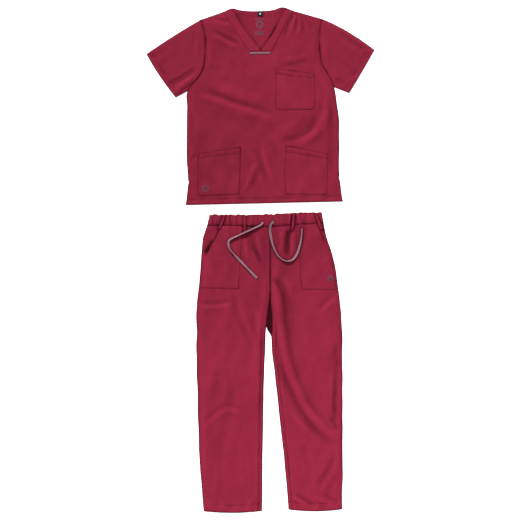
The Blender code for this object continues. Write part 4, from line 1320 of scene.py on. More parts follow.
def build_leg_back(side):
    rows = np.array(LEG_ROWS[side])
    shares = np.concatenate([np.linspace(0.0, 0.94, 120), np.linspace(0.94, 1.0, 18)[1:]])[:, None]
    across = np.concatenate([[0.0, 0.01], np.linspace(0.03, 0.97, 30), [0.99, 1.0]])[None, :]
    y_top = rows[0, 1] + (rows[0, 3] - rows[0, 1]) * across
    y_hem = rows[-1, 1] + (rows[-1, 3] - rows[-1, 1]) * across
    y = y_top + (y_hem - y_top) * shares
    low = rows[:, 1] < BACK_INSEAM[side][-1][0]
    seam_y = np.array([point[0] for point in BACK_INSEAM[side]] + list(rows[low, 1]))
    outer_column, inner_column = by_side(side, 0, 2)
    seam_x = np.array([point[1] for point in BACK_INSEAM[side]] + list(rows[low, inner_column]))
    outer = np.interp(y, rows[::-1, outer_column + 1], rows[::-1, outer_column])
    inner = np.interp(y, seam_y[::-1], seam_x[::-1])
    outer += INWARD[side] * BACK_INSET
    inner += INWARD[side] * BACK_SEAM_SHIFT
    start, end = by_side(side, outer, inner)
    points = dip_hem(side, np.stack([start + (end - start) * across, y], axis=2))
    points = stray(points, *stray_shares(side, points[..., 1]), LEG_SEEDS[side])
    x, y = points[..., 0], points[..., 1]
    edge = np.minimum(*side_gaps(points))
    hem = y - leg_hem(side, x)
    groove = 0.0003 * bell(hem - LEG_HEM, 0.0016)
    places = lifted(points, THIN + back_relief(x, y, np.minimum(edge, hem)) + groove)
    # Painted shadow on the back where it shows between the fronts at the crotch, and painted shade
    # along its edges.
    near = np.abs(x - 0.036) < 0.034
    shadow = 1.90 * near * smooth_step((y + 0.340) / 0.075) * smooth_step((-0.040 - y) / 0.03)
    shade = painted_line_shade(edge, 0.6) + shadow
    piece = cloth_piece("leg_back_" + side, places, THIN, shade)


WAIST_CELL = 0.0021
WAIST_MIDDLE = 0.0030


def build_waistband():
    knots = np.array(WAIST_ROWS)
    x_seam = np.arange(knots[0, 0], knots[-1, 0], WAIST_CELL)
    rims = [knots[0, 0] + rim for rim in RIM[:4]] + [knots[-1, 0] - rim for rim in RIM[:4]]
    x_seam = np.unique(np.concatenate([x_seam, rims, [knots[-1, 0]]]))
    rows = rows_at(knots, knots[:, 0], x_seam)
    depth = np.array([0.0, 0.012, 0.035, 0.07, 0.12, 0.2, 0.3, 0.4, 0.5, 0.6, 0.7, 0.8, 0.88, 0.94,
                      0.975, 1.0])[:, None]
    seam = rows[None, :, 0:2] + np.array((0.0, -0.0024))
    points = rows[None, :, 2:4] * (1.0 - depth[..., None]) + seam * depth[..., None]
    x, y = points[..., 0], points[..., 1]
    ripple = 0.0040 * rumple(x, np.zeros(x.shape), 0.014, 1.0, 0.0, 43.0)
    points[..., 1] += ripple * (1.0 - depth) ** 3
    side = np.minimum(*side_gaps(points))
    near_top = 1.0 - smooth_step(depth / 0.07)
    near_seam = 1.0 - smooth_step((1.0 - depth) / 0.06)
    front = waist_height(x, y) - 0.0012 * near_top - 0.0008 * near_seam
    front = WAIST_MIDDLE + (front - WAIST_MIDDLE) * round_edge(side, 0.007)
    under = WAIST_MIDDLE * (1.0 - round_edge(side, 0.006))
    dents = np.clip(rumple(x, y, 0.010, 5.0, 0.0, 45.0), 0.0, 1.0)
    under += 0.0009 * dents * smooth_step(side / 0.012)
    # Painted shade at the seam, the stitching and the ends, beside the loops and the drawstring,
    # and the painted crease shade of the gathers; the whole band is also made a little darker.
    shade = painted_line_shade((1.0 - depth) * WAIST_DEPTH, 1.0, 0.0034) * np.ones(x.shape)
    shade += painted_line_shade((depth - 0.10) * WAIST_DEPTH, 0.25, 0.0014)
    shade += painted_line_shade(side, 0.8, 0.0026) + painted_loop_shadow(x, y) + painted_string_shadow(x, y) + 0.10
    places = wrapped(lifted(points, front), lifted(points, under), 1)
    shades = wrapped(shade, shade, 1)
    crease = wrapped(1.4 * painted_crease_shade(front), np.zeros(front.shape), 1)
    piece = cloth_piece("waistband", places, WAIST_WALL, shades, crease, closed=True)


# --- The drawstring: a flat tape that twists as it lies.

TAPE_SIDES = 16


def loop_lift(x, y):
    """How far the belt loops lift what lies across them."""
    lift = np.zeros(x.shape)
    for loop in BELT_LOOPS.values():
        start, line, length = loop_line(loop)
        along = (x - start[0]) * line[0] + (y - start[1]) * line[1]
        offset = np.abs((y - start[1]) * line[0] - (x - start[0]) * line[1])
        within = (offset < 0.5 * LOOP_WIDTH + 0.002) & (along > -0.002) & (along < length + 0.002)
        lift = np.where(within, 0.0024, lift)
    return lift


def blurred(values, steps):
    """Values along a path, each the mean of those within a number of steps of it."""
    padded = np.pad(values, steps, mode="edge")
    kernel = np.ones(2 * steps + 1) / (2 * steps + 1)
    return np.convolve(padded, kernel, mode="valid")


def tape_path(name, sizes):
    """The centreline of a tape that lies on the trousers, with its turn at each point."""
    route = smooth_path(STRING_ROUTES[name], STRING_POINTS)
    shares = np.linspace(0.0, 1.0, STRING_POINTS)
    turns = np.array(STRING_TURNS[name])
    turn = np.radians(rows_at(turns[:, 1:], turns[:, 0], shares)[:, 0])
    half = 0.5 * (sizes.tape_width * np.abs(np.sin(turn)) + sizes.tape_thickness * np.cos(turn))

    def below(x, y):
        return trouser_height(x, y) + loop_lift(x, y)

    base = reach_height(below, route[:, 0], route[:, 1], 0.0035)
    highest = np.max([np.roll(base, step) for step in (-2, -1, 0, 1, 2)], axis=0)
    highest[:3], highest[-3:] = base[:3], base[-3:]
    route[:, 2] = blurred(highest, 3) + LAY_GAP + half
    sunk = np.clip(1.0 - shares / 0.03, 0.0, 1.0)
    route[:, 2] -= 0.0035 * sunk
    return route, turn


def build_drawstring(name, sizes):
    route, turn = tape_path(name, sizes)
    ahead = np.gradient(route, axis=0)
    ahead /= np.linalg.norm(ahead, axis=1)[:, None]
    level = np.cross(ahead, np.array((0.0, 0.0, 1.0)))
    level /= np.linalg.norm(level, axis=1)[:, None]
    above = np.cross(level, ahead)
    wide = level * np.cos(turn)[:, None] + above * np.sin(turn)[:, None]
    thin = above * np.cos(turn)[:, None] - level * np.sin(turn)[:, None]
    angles = np.linspace(0.0, math.tau, TAPE_SIDES + 1)
    across = np.sign(np.cos(angles)) * np.abs(np.cos(angles)) ** 0.7 * 0.5 * sizes.tape_width
    through = np.sign(np.sin(angles)) * np.abs(np.sin(angles)) ** 0.7 * 0.5 * sizes.tape_thickness
    across[-1], through[-1] = across[0], through[0]
    places = route[:, None, :] + wide[:, None, :] * across[None, :, None]
    places = places + thin[:, None, :] * through[None, :, None]
    mesh = grid_mesh(name, places, closed=True)
    closed = bmesh.new()
    closed.from_mesh(mesh)
    open_edges = [edge for edge in closed.edges if edge.is_boundary]
    bmesh.ops.holes_fill(closed, edges=open_edges, sides=0)
    bmesh.ops.recalc_face_normals(closed, faces=closed.faces)
    closed.to_mesh(mesh)
    closed.free()
    mesh.shade_smooth()
    mesh.set_sharp_from_angle(angle=math.radians(60.0))
    piece = place_piece(name + "_tape", mesh, "woven_tape")
    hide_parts(name)


# --- Small things: eyelets, size label, the print inside the neck, motifs and stitching.

EYELETS = ((0.011, 0.1392), (0.051, 0.1412))
EYELET_SIZE = (0.0046, 0.0030)
MOTIF_RING = 0.0034
MOTIF_BAR = 0.0042
Motif = namedtuple("Motif", "pocket middle radius")
MOTIFS = {
    "motif_lower_pocket": Motif("lower_pocket_right", (-0.197, 0.257), 0.0112),
    "motif_trouser_pocket": Motif("trouser_pocket_left", (0.2535, -0.066), 0.0092),
}

# The bars of the print: how far each is above its middle, how wide and how high. Then its ring:
# how far up, and its radius.
PRINT_MIDDLE = (-0.001, 0.840)
PRINT_ROWS = ((0.026, 0.036, 0.0036), (-0.0105, 0.012, 0.0030), (-0.0190, 0.036, 0.0026),
              (-0.0240, 0.030, 0.0026), (-0.0290, 0.036, 0.0026))
PRINT_RING = (0.0080, 0.0105)


def ring_path(middle, size, count):
    """Points round an oval in plan."""
    angles = np.linspace(0.0, math.tau, count + 1)
    x = middle[0] + size[0] * np.cos(angles)
    y = middle[1] + size[1] * np.sin(angles)
    x[-1], y[-1] = x[0], y[0]
    return x, y


def ring_places(x, y, z, middle, width, thickness, sides=10):
    """A flattened ring of thread on a path round a middle: its rows of points."""
    out = np.stack([x - middle[0], y - middle[1]], axis=1)
    out /= np.hypot(*out.T)[:, None]
    angles = np.linspace(0.0, math.tau, sides + 1)
    angles[-1] = 0.0
    across = 0.5 * width * np.cos(angles)[None, :]
    rise = 0.5 * thickness * np.sin(angles)[None, :]
    places = np.stack(
        [x[:, None] + out[:, :1] * across, y[:, None] + out[:, 1:] * across, z[:, None] + rise],
        axis=2,
    )
    places[-1] = places[0]
    return places


def joined(name, meshes):
    """Several meshes as one."""
    whole = bmesh.new()
    for mesh in meshes:
        whole.from_mesh(mesh)
        bpy.data.meshes.remove(mesh)
    bmesh.ops.recalc_face_normals(whole, faces=whole.faces)
    mesh = bpy.data.meshes.new(name)
    whole.to_mesh(mesh)
    whole.free()
    mesh.shade_smooth()
    mesh.set_sharp_from_angle(angle=math.radians(45.0))
    return mesh


def block_mesh(name, middle, size, bevel):
    """A small block with softened edges."""
    block = bmesh.new()
    bmesh.ops.create_cube(block, size=1.0)
    bmesh.ops.scale(block, vec=size, verts=block.verts)
    bmesh.ops.bevel(
        block, geom=block.edges, offset=bevel, segments=2, profile=0.5, affect="EDGES", material=-1
    )
    bmesh.ops.translate(block, vec=middle, verts=block.verts)
    mesh = bpy.data.meshes.new(name)
    block.to_mesh(mesh)
    block.free()
    return mesh


def one(value):
    """A single number as an array, as the height functions take."""
    return np.array([value])


def build_eyelets():
    rings = []
    hole_shadows = []
    for index, middle in enumerate(EYELETS):
        x, y = ring_path(middle, EYELET_SIZE, 28)
        base = float(waist_height(one(middle[0]), one(middle[1]))[0])
        z = np.full(x.shape, base + 0.0002)
        places = ring_places(x, y, z, middle, 0.0020, 0.0011)
        rings.append(grid_mesh(f"eyelet_{index}", places, closed=True))
        # Painted shade: a near-black block in each eyelet stands for the shade inside its hole.
        size = (1.2 * EYELET_SIZE[0], 1.1 * EYELET_SIZE[1], 0.0004)
        hole_shadows.append(block_mesh(f"hole_shadow_{index}", (middle[0], middle[1], base), size, 0.00015))
    place_piece("eyelet_stitching", joined("eyelet_stitching", rings), "woven_cloth")
    place_piece("eyelet_hole_shadows", joined("eyelet_hole_shadows", hole_shadows), "woven_label")


def build_label():
    low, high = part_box("size_label")
    columns = np.linspace(low[0], high[0], 18)
    rows = np.linspace(high[1], low[1], 16)
    x, y = np.meshgrid(columns, rows)
    edge = np.minimum(np.minimum(x - low[0], high[0] - x), np.minimum(y - low[1], high[1] - y))
    curl = 0.0010 * smooth_step((low[1] + 0.008 - y) / 0.008)
    height = high[2] - 0.0003 * (1.0 - round_edge(edge, 0.0010)) + curl
    places = lifted(np.stack([x, y], axis=2), height)
    mesh = walled(grid_mesh("size_label", places), 0.0005)
    piece = place_piece("size_label_cloth", mesh, "woven_label")
    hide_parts("size_label")
    middle = (0.5 * (low[0] + high[0]) - 0.0005, 0.5 * (low[1] + high[1]), high[2] + 0.0003)
    mark = block_mesh("size_label_mark", middle, (0.0055, 0.0055, 0.0004), 0.0001)
    place_piece("size_label_mark", joined("size_label_mark", [mark]), "pale_mark")


def build_print():
    """The plain printed bars inside the back, where the real one has its maker's block."""
    bars = []
    for rise, width, depth in PRINT_ROWS:
        size = (width, depth, 0.00016)
        x, y = PRINT_MIDDLE[0], PRINT_MIDDLE[1] + rise
        relief = float(back_relief(one(x), one(y), one(0.04))[0])
        bars.append(block_mesh("bar", (x, y, THIN + relief + 0.00022), size, 0.00004))
    middle = (PRINT_MIDDLE[0], PRINT_MIDDLE[1] + PRINT_RING[0])
    x, y = ring_path(middle, (PRINT_RING[1], PRINT_RING[1]), 40)
    z = THIN + back_relief(x, y, np.full(x.shape, 0.04)) + 0.0002
    bars.append(grid_mesh("ring", ring_places(x, y, z, middle, 0.0050, 0.0003), closed=True))
    place_piece("neck_print", joined("neck_print", bars), "print_ink")


def build_motif(name):
    """A small embroidered roundel with a plain cross, in place of the maker's own."""
    pocket, middle, radius = MOTIFS[name]
    x, y = ring_path(middle, (radius, radius), 40)
    base = panel_height(pocket, x, y) + LAY_GAP + THIN + 0.0004
    parts = [grid_mesh(name, ring_places(x, y, base, middle, MOTIF_RING, 0.0012), closed=True)]
    level = float(panel_height(pocket, one(middle[0]), one(middle[1]))[0])
    centre = level + LAY_GAP + THIN + 0.0005
    for width, depth in ((1.1 * radius, MOTIF_BAR), (MOTIF_BAR, 1.1 * radius)):
        size = (width, depth, 0.0010)
        parts.append(block_mesh(name, (middle[0], middle[1], centre), size, 0.0003))
    place_piece(name, joined(name, parts), "motif_thread")


# Half the width and half the height of a thread.
THREAD_HALVES = (0.00032, 0.00026)


def stitch_runs():
    """Every row of stitching: its path in plan, and the height function that it lies on."""
    runs = []
    hem_x = np.linspace(-0.262, 0.290, 60)
    runs.append((np.stack([hem_x, hem_line(hem_x) + TOP_HEM], axis=1), top_height))
    for side, rows in LEG_ROWS.items():
        row = rows[-1]
        hem_x = np.linspace(row.x_start + 0.004, row.x_end - 0.004, 40)
        runs.append((np.stack([hem_x, leg_hem(side, hem_x) + LEG_HEM], axis=1), legs_height))
        _, inner = by_side(side, *LEG_EDGES[side])
        y = np.linspace(-0.25, row.y_start + 0.010, 60)
        inseam_x = edge_line(inner, y) - INWARD[side] * 0.0045
        runs.append((np.stack([inseam_x, y], axis=1), legs_height))
    y = np.linspace(0.116, -0.190, 40)
    runs.append((np.stack([edge_line(LEG_EDGES["left"][0], y) + 0.0035, y], axis=1), legs_height))
    for side, rows in BAND_ROWS.items():
        column = 0 if side == "right" else 2
        away = np.array((INWARD[side] * -0.0035, 0.0))
        path = smooth_path(np.array(rows)[:, column:column + 2] + away, 40)
        runs.append((path, top_height))
    x = np.linspace(-0.176, 0.217, 90)
    seam = waist_seam(x)
    top = np.interp(x, [row.x_seam for row in WAIST_ROWS], [row.y_top for row in WAIST_ROWS])
    for share in (0.90, 0.16):
        runs.append((np.stack([x, seam + share * (top - seam)], axis=1), waist_height))
    return runs


def pocket_runs(name):
    """The stitching round a pocket, a little inside its edge, and along its hem."""
    points, _ = pocket_plan(name)

    def surface(x, y):
        return panel_height(name, x, y) + LAY_GAP + THIN - 0.0003

    left, right, base = points[:, 6], points[:, -7], points[-6]
    runs = [(np.concatenate([left[:-5], base[6:-6], right[-6::-1]]), surface)]
    hem = POCKET_HEMS[name]
    if hem:
        start, end = left[0] + (0.0, -hem), right[0] + (0.0, -hem)
        runs.append((start + (end - start) * np.linspace(0.0, 1.0, 30)[:, None], surface))
    else:
        away, column = (0.008, 0) if name.endswith("right") else (-0.008, -1)
        runs.append((points[4:-8, column] + (away, POCKET_STITCH), surface))
    return runs


def build_stitching(sizes):
    """Short threads along every seam that is sewn through, in one mesh for each garment."""
    garments = {"top_stitching": [], "trouser_stitching": []}
    for path, surface in stitch_runs():
        upper = float(path[:, 1].mean()) > 0.19
        garments["top_stitching" if upper else "trouser_stitching"].append((path, surface))
    for name in POCKET_ROWS:
        garment = "trouser_stitching" if name.startswith("trouser") else "top_stitching"
        garments[garment].extend(pocket_runs(name))
    for name, runs in garments.items():
        threads = bmesh.new()
        for path, surface in runs:
            add_stitches(threads, path, surface, sizes)
        mesh = bpy.data.meshes.new(name)
        threads.to_mesh(mesh)
        threads.free()
        mesh.shade_smooth()
        place_piece(name, mesh, "cloth_thread")


def add_stitches(threads, path, surface, sizes):
    """Adds one row of threads along a path in plan."""
    lengths = running_length(path)
    count = max(2, int(lengths[-1] / sizes.stitch_pitch))
    places = (np.arange(count) + 0.5) * lengths[-1] / count
    half = 0.5 * sizes.stitch_length
    x, y = (np.interp(places, lengths, path[:, axis]) for axis in (0, 1))
    ahead_x, ahead_y = (np.interp(places + half, lengths, path[:, axis]) for axis in (0, 1))
    behind_x, behind_y = (np.interp(places - half, lengths, path[:, axis]) for axis in (0, 1))
    z = surface(x, y) + 0.0001
    slope = (surface(ahead_x, ahead_y) - surface(behind_x, behind_y)) / (2.0 * half)
    turn = np.arctan2(ahead_y - behind_y, ahead_x - behind_x)
    for index in range(count):
        matrix = Matrix.Translation((x[index], y[index], z[index]))
        matrix = matrix @ Matrix.Rotation(turn[index], 4, "Z")
        matrix = matrix @ Matrix.Rotation(-math.atan(slope[index]), 4, "Y")
        matrix = matrix @ Matrix.Diagonal((half, *THREAD_HALVES, 1.0))
        bmesh.ops.create_icosphere(threads, subdivisions=1, radius=1.0, matrix=matrix)


# --- Materials. A node group gives the masks and heights; each shader stays in its own material.

# A Mix node's colour sockets share their names with its number sockets, so they go by place.
MIX_FIRST = 6
MIX_SECOND = 7
MIX_COLOUR = 2
WEAVE_PITCH = 0.0007
TAPE_PITCH = 0.0011


def math_node(tree, operation, first, second=None):
    """A Math node whose inputs are linked or set, and its output."""
    node = tree.nodes.new("ShaderNodeMath")
    node.operation = operation
    for socket, value in zip(node.inputs, (first, second)):
        if isinstance(value, bpy.types.NodeSocket):
            tree.links.new(value, socket)
        elif value is not None:
            socket.default_value = value
    return node.outputs[0]


def noise_node(tree, vector, scale, detail, rough=0.5):
    node = tree.nodes.new("ShaderNodeTexNoise")
    tree.links.new(vector, node.inputs["Vector"])
    node.inputs["Scale"].default_value = scale
    node.inputs["Detail"].default_value = detail
    node.inputs["Roughness"].default_value = rough
    return node.outputs["Fac"]


def make_weave_group():
    """A plain weave from Object coordinates: how light each thread is, and how high it stands."""
    tree = bpy.data.node_groups.new("Woven Threads", "ShaderNodeTree")
    tree.interface.new_socket("Pitch", in_out="INPUT", socket_type="NodeSocketFloat")
    tree.interface.new_socket("Light", in_out="OUTPUT", socket_type="NodeSocketFloat")
    tree.interface.new_socket("Height", in_out="OUTPUT", socket_type="NodeSocketFloat")
    start = tree.nodes.new("NodeGroupInput")
    end = tree.nodes.new("NodeGroupOutput")
    place = tree.nodes.new("ShaderNodeTexCoord").outputs["Object"]
    split = tree.nodes.new("ShaderNodeSeparateXYZ")
    tree.links.new(place, split.inputs[0])
    frequency = math_node(tree, "DIVIDE", math.pi, start.outputs["Pitch"])
    waves = []
    for axis in ("X", "Y"):
        turn = math_node(tree, "MULTIPLY", split.outputs[axis], frequency)
        waves.append(math_node(tree, "SINE", turn))
    checker = math_node(tree, "MULTIPLY", waves[0], waves[1])
    slub = noise_node(tree, place, 900.0, 2.0, 0.6)
    patches = noise_node(tree, place, 55.0, 4.0, 0.55)
    clouds = noise_node(tree, place, 9.0, 3.0, 0.5)
    height = math_node(tree, "ADD", checker, math_node(tree, "MULTIPLY", slub, 0.8))
    height = math_node(tree, "ADD", height, math_node(tree, "MULTIPLY", patches, 1.6))
    light = math_node(tree, "MULTIPLY", checker, 0.12)
    light = math_node(tree, "ADD", light, math_node(tree, "MULTIPLY", slub, 0.45))
    light = math_node(tree, "ADD", light, math_node(tree, "MULTIPLY", patches, 0.35))
    light = math_node(tree, "ADD", light, math_node(tree, "MULTIPLY", clouds, 0.50))
    tree.links.new(light, end.inputs["Light"])
    tree.links.new(height, end.inputs["Height"])
    return tree


def woven_material(name, deep, bright, pitch, finish, bump, group):
    """A woven cloth of two tones of thread, darkened by the painted shade of its shade attribute,
    with its roughness and sheen.
    """
    material = bpy.data.materials.new(name)
    material.use_nodes = True
    tree = material.node_tree
    shader = tree.nodes["Principled BSDF"]
    weave = tree.nodes.new("ShaderNodeGroup")
    weave.node_tree = group
    weave.inputs["Pitch"].default_value = pitch
    tones = tree.nodes.new("ShaderNodeMix")
    tones.data_type = "RGBA"
    tones.inputs[MIX_FIRST].default_value = (*deep, 1.0)
    tones.inputs[MIX_SECOND].default_value = (*bright, 1.0)
    tree.links.new(weave.outputs["Light"], tones.inputs[0])
    shade = tree.nodes.new("ShaderNodeAttribute")
    shade.attribute_name = "shade"
    # Painted shade: the shade attribute mixes the cloth towards a far darker tone of its deep
    # thread.
    painted_shade_mix = tree.nodes.new("ShaderNodeMix")
    painted_shade_mix.data_type = "RGBA"
    painted_shade_mix.inputs[MIX_SECOND].default_value = tuple(0.16 * tone for tone in deep) + (1.0,)
    tree.links.new(tones.outputs[MIX_COLOUR], painted_shade_mix.inputs[MIX_FIRST])
    tree.links.new(shade.outputs["Fac"], painted_shade_mix.inputs[0])
    tree.links.new(painted_shade_mix.outputs[MIX_COLOUR], shader.inputs["Base Color"])
    rough = math_node(tree, "MULTIPLY", weave.outputs["Light"], -0.10)
    rough = math_node(tree, "ADD", rough, finish.roughness)
    tree.links.new(rough, shader.inputs["Roughness"])
    shader.inputs["Sheen Weight"].default_value = finish.sheen
    shader.inputs["Sheen Roughness"].default_value = 0.45
    shader.inputs["Sheen Tint"].default_value = (*bright, 1.0)
    shader.inputs["Specular IOR Level"].default_value = finish.specular
    relief = tree.nodes.new("ShaderNodeBump")
    relief.inputs["Strength"].default_value = bump
    relief.inputs["Distance"].default_value = 0.15 * pitch
    tree.links.new(weave.outputs["Height"], relief.inputs["Height"])
    tree.links.new(relief.outputs["Normal"], shader.inputs["Normal"])


Finish = namedtuple("Finish", "roughness sheen specular")
CLOTH_FINISH = Finish(0.88, 0.01, 0.05)
TAPE_FINISH = Finish(0.84, 0.04, 0.15)
LABEL_FINISH = Finish(0.80, 0.01, 0.12)


def make_materials(sizes):
    group = make_weave_group()
    deep, bright = tuple(sizes.cloth_deep), tuple(sizes.cloth_bright)
    woven_material("woven_cloth", deep, bright, WEAVE_PITCH, CLOTH_FINISH, 0.6, group)
    thread = tuple(0.72 * tone for tone in bright)
    woven_material("cloth_thread", thread, deep, WEAVE_PITCH, CLOTH_FINISH, 0.3, group)
    deep, bright = tuple(sizes.tape_deep), tuple(sizes.tape_bright)
    woven_material("woven_tape", deep, bright, TAPE_PITCH, TAPE_FINISH, 0.7, group)
    deep, bright = tuple(sizes.motif_deep), tuple(sizes.motif_bright)
    woven_material("motif_thread", deep, bright, WEAVE_PITCH, TAPE_FINISH, 0.5, group)
    ink = tuple(0.5 * (first + second) for first, second in zip(bright, sizes.tape_deep))
    woven_material("print_ink", deep, ink, WEAVE_PITCH, TAPE_FINISH, 0.2, group)
    deep, bright = (0.6, 0.6, 0.6), (0.8, 0.8, 0.8)
    woven_material("pale_mark", deep, bright, WEAVE_PITCH, LABEL_FINISH, 0.2, group)
    deep, bright = tuple(sizes.label_deep), tuple(sizes.label_bright)
    woven_material("woven_label", deep, bright, WEAVE_PITCH, LABEL_FINISH, 0.5, group)


# --- Stage.

CAMERA_LENS = 85.0
CAMERA_HEIGHT = 4.42
FLOOR_SIZE = 9.0
FLOOR_DROP = 0.0006


def build_camera():
    lens = bpy.data.cameras.new("camera")
    lens.lens = CAMERA_LENS
    lens.sensor_width = 36.0
    camera = new_object("camera", lens)
    camera.location = (0.0, 0.0, CAMERA_HEIGHT)
    bpy.context.scene.camera = camera


def build_stage(sizes):
    scene = bpy.context.scene
    plane = bmesh.new()
    bmesh.ops.create_grid(plane, x_segments=2, y_segments=2, size=0.5 * FLOOR_SIZE)
    mesh = bpy.data.meshes.new("floor")
    plane.to_mesh(mesh)
    plane.free()
    floor = new_object("floor", mesh)
    floor.location = (0.0, 0.0, -FLOOR_DROP)
    pale = bpy.data.materials.new("pale_floor")
    pale.use_nodes = True
    shader = pale.node_tree.nodes["Principled BSDF"]
    shader.inputs["Base Color"].default_value = (0.93, 0.93, 0.93, 1.0)
    shader.inputs["Roughness"].default_value = 0.9
    shader.inputs["Specular IOR Level"].default_value = 0.1
    shader.inputs["Emission Color"].default_value = (1.0, 1.0, 1.0, 1.0)
    shader.inputs["Emission Strength"].default_value = sizes.floor_glow
    mesh.materials.append(pale)
    for name, turn, strength, softness in (
        ("key", (-50.0, -28.0), sizes.key_strength, 11.0),
        ("fill", (10.0, -52.0), 0.14 * sizes.key_strength, 40.0),
    ):
        light = bpy.data.lights.new(name, "SUN")
        light.energy = strength
        light.angle = math.radians(softness)
        lamp = new_object(name, light)
        lamp.rotation_euler = (math.radians(turn[0]), math.radians(turn[1]), 0.0)
    glow = bpy.data.lights.new("low_glow", "AREA")
    glow.size = 0.9
    glow.energy = sizes.low_glow
    lamp = new_object("low_glow", glow)
    lamp.location = (0.66, -1.0, 1.8)
    world = bpy.data.worlds.new("studio")
    world.use_nodes = True
    sky = world.node_tree.nodes["Background"]
    sky.inputs["Color"].default_value = (1.0, 1.0, 1.0, 1.0)
    sky.inputs["Strength"].default_value = sizes.world_strength
    scene.world = world
    scene.view_settings.view_transform = "Standard"
    scene.view_settings.look = "None"


# --- The add-on: settings, operators and panel.


class ScrubsSettings(bpy.types.PropertyGroup):
    tape_width: bpy.props.FloatProperty(
        name="Tape Width", description="Width of the flat drawstring", default=0.0088,
        subtype="DISTANCE", unit="LENGTH",
    )
    tape_thickness: bpy.props.FloatProperty(
        name="Tape Thickness", description="Thickness of the flat drawstring", default=0.0015,
        subtype="DISTANCE", unit="LENGTH",
    )
    stitch_pitch: bpy.props.FloatProperty(
        name="Stitch Pitch", description="Distance from one stitch to the next", default=0.0032,
        subtype="DISTANCE", unit="LENGTH",
    )
    stitch_length: bpy.props.FloatProperty(
        name="Stitch Length", description="Length of thread that shows in a stitch", default=0.0024,
        subtype="DISTANCE", unit="LENGTH",
    )
    cloth_deep: bpy.props.FloatVectorProperty(
        name="Cloth Deep", description="Darker thread of the cloth", subtype="COLOR",
        default=(0.215, 0.0115, 0.0310),
    )
    cloth_bright: bpy.props.FloatVectorProperty(
        name="Cloth Bright", description="Lighter thread of the cloth", subtype="COLOR",
        default=(0.312, 0.0210, 0.0510),
    )
    tape_deep: bpy.props.FloatVectorProperty(
        name="Tape Deep", description="Darker thread of the tapes", subtype="COLOR",
        default=(0.190, 0.092, 0.122),
    )
    tape_bright: bpy.props.FloatVectorProperty(
        name="Tape Bright", description="Lighter thread of the tapes", subtype="COLOR",
        default=(0.285, 0.145, 0.188),
    )
    motif_deep: bpy.props.FloatVectorProperty(
        name="Motif Deep", description="Darker thread of the sewn motifs", subtype="COLOR",
        default=(0.085, 0.030, 0.045),
    )
    motif_bright: bpy.props.FloatVectorProperty(
        name="Motif Bright", description="Lighter thread of the sewn motifs", subtype="COLOR",
        default=(0.14, 0.065, 0.085),
    )
    label_deep: bpy.props.FloatVectorProperty(
        name="Label Deep", description="Darker thread of the label", subtype="COLOR",
        default=(0.008, 0.007, 0.009),
    )
    label_bright: bpy.props.FloatVectorProperty(
        name="Label Bright", description="Lighter thread of the label", subtype="COLOR",
        default=(0.018, 0.015, 0.020),
    )
    key_strength: bpy.props.FloatProperty(
        name="Key Strength", description="Strength of the main soft light", default=4.12,
    )
    world_strength: bpy.props.FloatProperty(
        name="World Strength", description="Strength of the light from all round", default=0.13,
    )
    low_glow: bpy.props.FloatProperty(
        name="Low Glow", description="Strength of the soft light above the legs", default=17.0,
    )
    floor_glow: bpy.props.FloatProperty(
        name="Floor Glow", description="How much the floor is lit from below", default=0.85,
    )


class SCRUBS_OT_materials(bpy.types.Operator):
    """Makes the cloth, tape and label materials"""

    bl_idname = "scrubs.materials"
    bl_label = "Materials"
    bl_options = {"REGISTER", "UNDO"}

    def execute(self, context):
        make_materials(context.scene.scrubs_settings)
        return {"FINISHED"}


class SCRUBS_OT_camera(bpy.types.Operator):
    """Makes the camera, straight above the set"""

    bl_idname = "scrubs.camera"
    bl_label = "Camera"
    bl_options = {"REGISTER", "UNDO"}

    def execute(self, context):
        build_camera()
        return {"FINISHED"}


class SCRUBS_OT_drawstrings(bpy.types.Operator):
    """Makes both free ends of the drawstring"""

    bl_idname = "scrubs.drawstrings"
    bl_label = "Drawstrings"
    bl_options = {"REGISTER", "UNDO"}

    def execute(self, context):
        for name in STRING_ROUTES:
            build_drawstring(name, context.scene.scrubs_settings)
        return {"FINISHED"}


class SCRUBS_OT_top_body(bpy.types.Operator):
    """Makes the front and back of the top"""

    bl_idname = "scrubs.top_body"
    bl_label = "Top Body"
    bl_options = {"REGISTER", "UNDO"}

    def execute(self, context):
        build_top_back()
        build_top_front()
        return {"FINISHED"}


class SCRUBS_OT_sleeves(bpy.types.Operator):
    """Makes both sleeves"""

    bl_idname = "scrubs.sleeves"
    bl_label = "Sleeves"
    bl_options = {"REGISTER", "UNDO"}

    def execute(self, context):
        for side in CUFFS:
            build_sleeve(side)
        return {"FINISHED"}


class SCRUBS_OT_neck(bpy.types.Operator):
    """Makes the neck bands, the tab across the V, the size label and the inner print"""

    bl_idname = "scrubs.neck"
    bl_label = "Neck"
    bl_options = {"REGISTER", "UNDO"}

    def execute(self, context):
        for side in BAND_ROWS:
            build_neck_band(side)
        build_neck_tab()
        build_label()
        build_print()
        return {"FINISHED"}


class SCRUBS_OT_legs(bpy.types.Operator):
    """Makes the fronts and backs of both legs"""

    bl_idname = "scrubs.legs"
    bl_label = "Legs"
    bl_options = {"REGISTER", "UNDO"}

    def execute(self, context):
        for side in LEG_ROWS:
            build_leg_back(side)
            build_leg_front(side)
        return {"FINISHED"}


class SCRUBS_OT_pockets(bpy.types.Operator):
    """Makes every patch pocket and the motifs sewn on two of them"""

    bl_idname = "scrubs.pockets"
    bl_label = "Pockets"
    bl_options = {"REGISTER", "UNDO"}

    def execute(self, context):
        for name in POCKET_ROWS:
            build_pocket(name)
        for name in MOTIFS:
            build_motif(name)
        return {"FINISHED"}


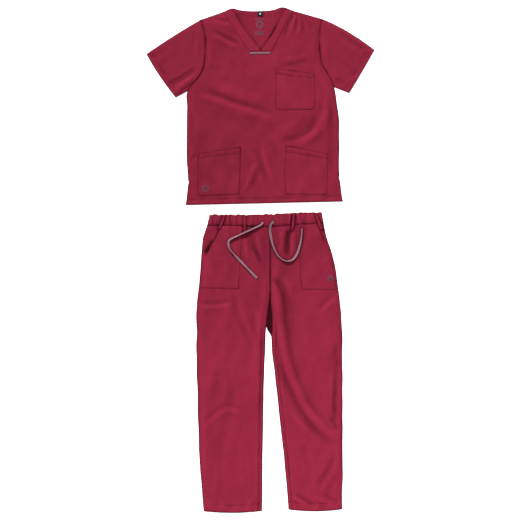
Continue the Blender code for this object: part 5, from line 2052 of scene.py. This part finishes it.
class SCRUBS_OT_waist(bpy.types.Operator):
    """Makes the waistband, its eyelets and the belt loops"""

    bl_idname = "scrubs.waist"
    bl_label = "Waist"
    bl_options = {"REGISTER", "UNDO"}

    def execute(self, context):
        build_waistband()
        build_eyelets()
        for name in BELT_LOOPS:
            build_belt_loop(name)
        return {"FINISHED"}


class SCRUBS_OT_stitching(bpy.types.Operator):
    """Makes the rows of stitching"""

    bl_idname = "scrubs.stitching"
    bl_label = "Stitching"
    bl_options = {"REGISTER", "UNDO"}

    def execute(self, context):
        build_stitching(context.scene.scrubs_settings)
        return {"FINISHED"}


class SCRUBS_OT_stage(bpy.types.Operator):
    """Makes the floor and the studio light"""

    bl_idname = "scrubs.stage"
    bl_label = "Stage"
    bl_options = {"REGISTER", "UNDO"}

    def execute(self, context):
        build_stage(context.scene.scrubs_settings)
        return {"FINISHED"}


class SCRUBS_PT_maker(bpy.types.Panel):
    """Lists the set's operators in the sidebar"""

    bl_label = "Scrubs Set"
    bl_idname = "SCRUBS_PT_maker"
    bl_space_type = "VIEW_3D"
    bl_region_type = "UI"
    bl_category = "Scrubs"

    def draw(self, context):
        column = self.layout.column(align=True)
        for operator in OPERATORS:
            column.operator(operator.bl_idname)


OPERATORS = (
    SCRUBS_OT_materials,
    SCRUBS_OT_camera,
    SCRUBS_OT_drawstrings,
    SCRUBS_OT_top_body,
    SCRUBS_OT_sleeves,
    SCRUBS_OT_neck,
    SCRUBS_OT_legs,
    SCRUBS_OT_pockets,
    SCRUBS_OT_waist,
    SCRUBS_OT_stitching,
    SCRUBS_OT_stage,
)
CLASSES = (ScrubsSettings,) + OPERATORS + (SCRUBS_PT_maker,)


def register():
    for item in CLASSES:
        bpy.utils.register_class(item)
    bpy.types.Scene.scrubs_settings = bpy.props.PointerProperty(type=ScrubsSettings)


def unregister():
    del bpy.types.Scene.scrubs_settings
    for item in reversed(CLASSES):
        bpy.utils.unregister_class(item)


def main():
    register()
    bpy.ops.scrubs.materials()
    bpy.ops.scrubs.camera()
    bpy.ops.scrubs.drawstrings()
    bpy.ops.scrubs.top_body()
    bpy.ops.scrubs.sleeves()
    bpy.ops.scrubs.neck()
    bpy.ops.scrubs.legs()
    bpy.ops.scrubs.pockets()
    bpy.ops.scrubs.waist()
    bpy.ops.scrubs.stitching()
    bpy.ops.scrubs.stage()


if __name__ == "__main__":
    main()
